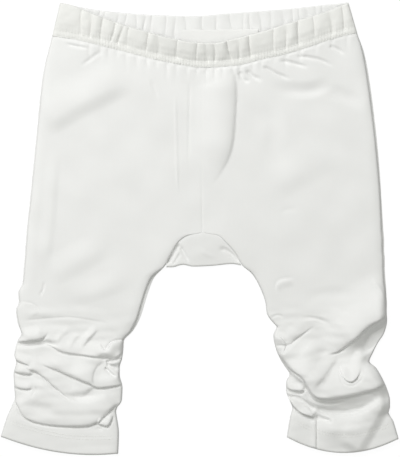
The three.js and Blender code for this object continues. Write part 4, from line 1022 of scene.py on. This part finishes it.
def front_band_grid(down, top_x):
    """Outer face of the front band; it bulges at the middle and comes down at its two ends."""
    ends = (FRONT_TOP[0][0], FRONT_TOP[-1][0])
    at = [ends[0]] + [g[0] for g in FRONT_GATHERS] + [ends[1]]
    feet = [FRONT_SEAM[0][0]] + [g[1] for g in FRONT_GATHERS] + [FRONT_SEAM[-1][0]]
    foot_x = np.interp(top_x, at, feet)
    x, y = band_plan(top_x, foot_x, down, front_top_y(top_x), front_seam_y(foot_x) + 0.02)
    height = (front_top_y(top_x) - front_seam_y(foot_x))[None, :]
    from_top, from_foot = down[:, None] * height, (1 - down[:, None]) * height
    gathers = gather_profile(top_x[None, :], down[:, None], FRONT_GATHERS, ends)
    puffed = smoothstep(from_foot, STRIP - 2, STRIP + 7)
    crown = 0.35 * np.sin(np.pi * np.clip(from_top / (height - STRIP), 0, 1)) ** 0.7
    strip = 1 - puffed
    ripple = STITCH_RIPPLE * np.sin(2 * np.pi * x / PITCH) * strip
    ripple = ripple + 0.12 * undulation(x, y, 31, 4, 16)
    pinched = smoothstep(from_foot, STRIP - 2.5, STRIP + 1)
    z = BAND_REST + BAND_CLOTH - 0.25 + crown * puffed + ripple
    z = z + np.where(gathers > 0, puffed, pinched) * gathers
    sloping = np.clip(1 - from_top / (height - STRIP), 0, 1)
    z = z + MIDDLE_BULGE * np.exp(-(x / 45) ** 2) * sloping
    z = z - PRESSED * strip + 0.12 * strip * np.cos(np.pi * (from_foot - STRIP / 2) / (STRIP / 2))
    to_end = np.minimum(x - x[:, :1], x[:, -1:] - x)
    fall = (BAND_REST - LABEL_LOW) * (1 - round_rise(to_end, 4.0))
    z = z - fall
    rest = BAND_REST - fall
    rim = band_rim(from_top, to_end)
    return np.stack([x, y, rest + 0.3 + (z - rest - 0.3) * rim], axis=2)


print("the front band rests at", round(BAND_REST, 2), "mm, over the label")

# %% Make the front waistband
down = np.concatenate([np.linspace(0, 0.12, 9), np.linspace(0.12, 0.97, 34)[1:],
                       [0.98, 0.99, 1.0]])
top_x = np.linspace(FRONT_TOP[0][0], FRONT_TOP[-1][0], FRONT_BAND_COLUMNS)
grid = front_band_grid(down, top_x)
band = facing_out(sheet_mesh("waistband_front_cloth", grid, 1.2, LABEL_LOW))
dress(band, "waistband_front", BAND_JERSEY_TONE_AND_SHADE)
print("front band area", round(grid_area(grid), 5))

# %% Make the back waistband
gathers = [(x, (0.35, 0.65, 0.45)[i % 3]) for i, x in enumerate(BACK_GATHERS)]
top_x = np.linspace(BACK_TOP[0][0], BACK_TOP[-1][0], BACK_BAND_COLUMNS)
foot_x = top_x * BACK_SPREAD
down = np.concatenate([np.linspace(0, 0.1, 7), np.linspace(0.1, 1, 20)[1:]])
x, y = band_plan(top_x, foot_x, down, back_top_y(top_x), back_seam_y(foot_x))
from_top = down[:, None] * BAND_HEIGHT
profile = gather_profile(top_x[None, :], down[:, None], gathers, (top_x[0], top_x[-1]))
shows = smoothstep(y - front_top_y(x), -1.0, 2.0)
z = BAND_CLOTH - 0.15 + np.where(profile > 0, 0.5, 0.9) * profile * shows
z = z + 0.08 * undulation(x, y, 41, 4, 18) * shows
to_end = np.minimum(x - x[:, :1], x[:, -1:] - x)
rim = band_rim(from_top, to_end)
upper = np.stack([x, y, 0.9 + (z - 0.9) * rim], axis=2)
lower = np.stack([x, y, 0.5 * (1 - rim)], axis=2)
back_band = facing_out(closed_mesh("waistband_back_cloth", upper, lower))
dress(back_band, "waistband_back", JERSEY)

# %% [markdown]
# ## Label
# A narrow woven ribbon, folded at its top and sewn to the inside of the back band. It could
# be a plain box, but a thin sheet that waves a little lies as ribbon does. It is left bare.

# %% Make the label
LABEL_LEFT, LABEL_RIGHT, LABEL_TOP, LABEL_BOTTOM = -13.3, 40.6, 139.2, 124.5
LABEL_SLANT = 0.012
LABEL_SHEET = 0.35
x = np.linspace(LABEL_LEFT, LABEL_RIGHT, 90)[None, :]
y = np.linspace(LABEL_TOP, LABEL_BOTTOM, 30)[:, None]
label_x = x + 0 * y
label_y = y + LABEL_SLANT * (x - LABEL_LEFT)
ripple = 0.12 * undulation(label_x, label_y, 53, 8, 30)
fold = round_rise((LABEL_TOP - y) + 0.02, 0.7)
label_z = LABEL_LOW + 0.15 + (LABEL_SHEET + ripple) * fold
grid = np.stack([label_x, label_y, label_z], axis=2)
label = facing_out(sheet_mesh("label_ribbon", grid, LABEL_SHEET, LABEL_LOW - 0.1))
dress(label, "label", RIBBON)

# %% [markdown]
# ## Coverstitch
# Two rows of stitches hold the band's seam and each hem. They could be dashes in a bump map,
# but thread stands up and casts shade. So a stitch is a short round bar of thread, sunk a
# little into the cloth, and one loop lays a row of them along the surface.

# %% One stitch
STITCH, THREAD_WIDTH = 1.6, 0.31
STITCH_LIFT = 0.08  # height of a stitch's middle over the cloth
STITCH_SINK = 0.12  # how far its two ends go down
RINGS, SIDES = 6, 6


def stitch_bar(middle, along, normal):
    """Points of a bar with rounded ends, in rings of equal length."""
    side = np.cross(normal, along)
    points = []
    for ring in range(RINGS):
        t = -1 + 2 * ring / (RINGS - 1)
        radius = THREAD_WIDTH / 2 * math.sqrt(max(1 - t ** 6, 0.05))
        for k in range(SIDES):
            angle = 2 * math.pi * k / SIDES
            arch = -STITCH_SINK * t * t
            points.append(middle + along * (t * STITCH / 2) + normal * arch
                          + (side * math.cos(angle) + normal * math.sin(angle)) * radius)
    return points


def stitch_faces(start):
    faces = []
    for ring in range(RINGS - 1):
        for k in range(SIDES):
            a, b = start + ring * SIDES + k, start + ring * SIDES + (k + 1) % SIDES
            faces.append((a, b, b + SIDES, a + SIDES))
    faces.append(tuple(start + k for k in reversed(range(SIDES))))
    faces.append(tuple(start + (RINGS - 1) * SIDES + k for k in range(SIDES)))
    return faces


print("a stitch has", RINGS * SIDES, "points and", len(stitch_faces(0)), "faces")

# %% Make the stitches


def stitch_rows(name, rows):
    """One piece of thread: stitches a pitch apart along each row."""
    points, faces = [], []
    for row in rows:
        steps = np.linalg.norm(np.diff(row, axis=0), axis=1)
        along = np.concatenate([[0], np.cumsum(steps)])
        for place in np.arange(PITCH, along[-1] - PITCH / 2, PITCH):
            at = [np.array([np.interp(place + d, along, row[:, k]) for k in range(3)])
                  for d in (-STITCH / 2, 0, STITCH / 2)]
            way = at[2] - at[0]
            way /= np.linalg.norm(way)
            normal = np.cross(way, np.cross((0, 0, 1), way))
            normal /= np.linalg.norm(normal)
            faces += stitch_faces(len(points))
            points += stitch_bar(at[1] + normal * STITCH_LIFT, way, normal)
    points = (np.array(points) + [SHIFT_X, SHIFT_Y, 0]) * MM
    mesh = bpy.data.meshes.new(name)
    mesh.from_pydata(points.tolist(), [], faces)
    mesh.polygons.foreach_set("use_smooth", np.ones(len(faces), dtype=bool))
    thread = bpy.data.objects.new(name, mesh)
    bpy.context.scene.collection.objects.link(thread)
    thread.data.materials.append(THREAD)
    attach(thread, "root")
    print(name, "stitches", len(points) // (RINGS * SIDES))


BAND_STITCH_HEIGHTS = (0.9, 3.4)  # above the band's seam
HEM_STITCH_PLACES = (0.08, 0.24)  # shares of the hem's length
height = BAND_HEIGHT + 0.5
fine_x = np.linspace(FRONT_TOP[0][0] + 1, FRONT_TOP[-1][0] - 1, 400)
band_rows = [front_band_grid(np.array([1 - up / height]), fine_x)[0]
             for up in BAND_STITCH_HEIGHTS]
stitch_rows("band_coverstitch", band_rows)
for side, leg in LEGS.items():
    places = len(leg) - 2 + np.array(HEM_STITCH_PLACES)
    grid = front_grid(side, places, edge_close_shares(160)[8:-8], hem=True)
    stitch_rows(f"hem_coverstitch_{side}", list(grid))

# %% [markdown]
# ## Floor, light and camera
# The garment was shot from straight above on white, in soft light that comes from beyond the
# waist and a little from the left. A sun would give hard shadows, so a large lamp gives that
# direction, and a bright world fills the shadows. The floor is mid grey to the light, so that
# it throws little back, and glows white to the camera. The camera hangs over the middle of
# the photograph's frame.

# %% Floor
FLOOR_SIZE = 8.0
FLOOR_GLOW, GLOW_SHARE = 1.17, 0.8
bpy.ops.mesh.primitive_plane_add(size=FLOOR_SIZE, location=(0, 0, -0.0002))
floor = bpy.context.object
floor.name = "white_table"
paper = bpy.data.materials.new("white_paper")
paper.use_nodes = True
paper_shader = paper.node_tree.nodes["Principled BSDF"]
paper_shader.inputs["Base Color"].default_value = (0.5, 0.5, 0.5, 1)
paper_shader.inputs["Roughness"].default_value = 0.9
paper_shader.inputs["Specular IOR Level"].default_value = 0.0
glow = paper.node_tree.nodes.new("ShaderNodeEmission")
glow.inputs["Strength"].default_value = FLOOR_GLOW
seen = paper.node_tree.nodes.new("ShaderNodeLightPath")
choice = paper.node_tree.nodes.new("ShaderNodeMixShader")
share = paper.node_tree.nodes.new("ShaderNodeMath")
share.operation = "MULTIPLY"
share.inputs[1].default_value = GLOW_SHARE
surface = paper.node_tree.nodes["Material Output"].inputs["Surface"]
for source, target in ((seen.outputs["Is Camera Ray"], share.inputs[0]),
                       (share.outputs[0], choice.inputs["Fac"]),
                       (paper_shader.outputs[0], choice.inputs[1]),
                       (glow.outputs[0], choice.inputs[2]),
                       (choice.outputs[0], surface)):
    paper.node_tree.links.new(source, target)
floor.data.materials.append(paper)
print("floor", FLOOR_SIZE, "m")

# %% Light
LEVEL_LIGHT, CEILING_LIGHT = 0.22, 0.67  # strength of the world at eye level and overhead
BACKDROP = 0.85  # how bright the world looks to the camera
LAMP_WATTS = 18.0
scene = bpy.context.scene
scene.view_settings.view_transform = "Standard"
world = bpy.data.worlds.new("studio")
world.use_nodes = True
sky = world.node_tree.nodes["Background"]
sky.inputs["Color"].default_value = (0.99, 1, 0.955, 1)
way = world.node_tree.nodes.new("ShaderNodeTexCoord")
parts = world.node_tree.nodes.new("ShaderNodeSeparateXYZ")
ceiling = world.node_tree.nodes.new("ShaderNodeMapRange")
ceiling.inputs["To Min"].default_value = LEVEL_LIGHT
ceiling.inputs["To Max"].default_value = CEILING_LIGHT
seen = world.node_tree.nodes.new("ShaderNodeLightPath")
backdrop = world.node_tree.nodes.new("ShaderNodeMix")
backdrop.inputs["B"].default_value = BACKDROP
for source, target in ((way.outputs["Generated"], parts.inputs[0]),
                       (parts.outputs["Z"], ceiling.inputs["Value"]),
                       (seen.outputs["Is Camera Ray"], backdrop.inputs["Factor"]),
                       (ceiling.outputs["Result"], backdrop.inputs["A"]),
                       (backdrop.outputs["Result"], sky.inputs["Strength"])):
    world.node_tree.links.new(source, target)
scene.world = world
lamp_data = bpy.data.lights.new("north_softbox", "AREA")
lamp_data.shape = "RECTANGLE"
lamp_data.size, lamp_data.size_y = 1.0, 0.7
lamp_data.energy = LAMP_WATTS
lamp = bpy.data.objects.new("north_softbox", lamp_data)
lamp.location = (-0.6, 0.92, 1.22)
lamp.rotation_euler = (-lamp.location).to_track_quat("-Z", "Y").to_euler()
scene.collection.objects.link(lamp)
print("lamp energy", lamp_data.energy)

# %% Camera
FRAME_MM = (280.0, 319.9)  # what 400 by 457 pixels cover at the garment
DISTANCE = 2.4
SENSOR = 24
camera_data = bpy.data.cameras.new("camera_over_garment")
camera_data.sensor_fit = "VERTICAL"
camera_data.sensor_height = SENSOR
camera_data.sensor_width = SENSOR
camera_data.lens = SENSOR * DISTANCE / (FRAME_MM[1] * MM)
camera = bpy.data.objects.new("camera_over_garment", camera_data)
camera.location = (SHIFT_X * MM, (SHIFT_Y + 0.2) * MM, DISTANCE + 0.004)
scene.collection.objects.link(camera)
scene.camera = camera
print("lens", round(camera_data.lens, 1), "mm at", DISTANCE, "m")
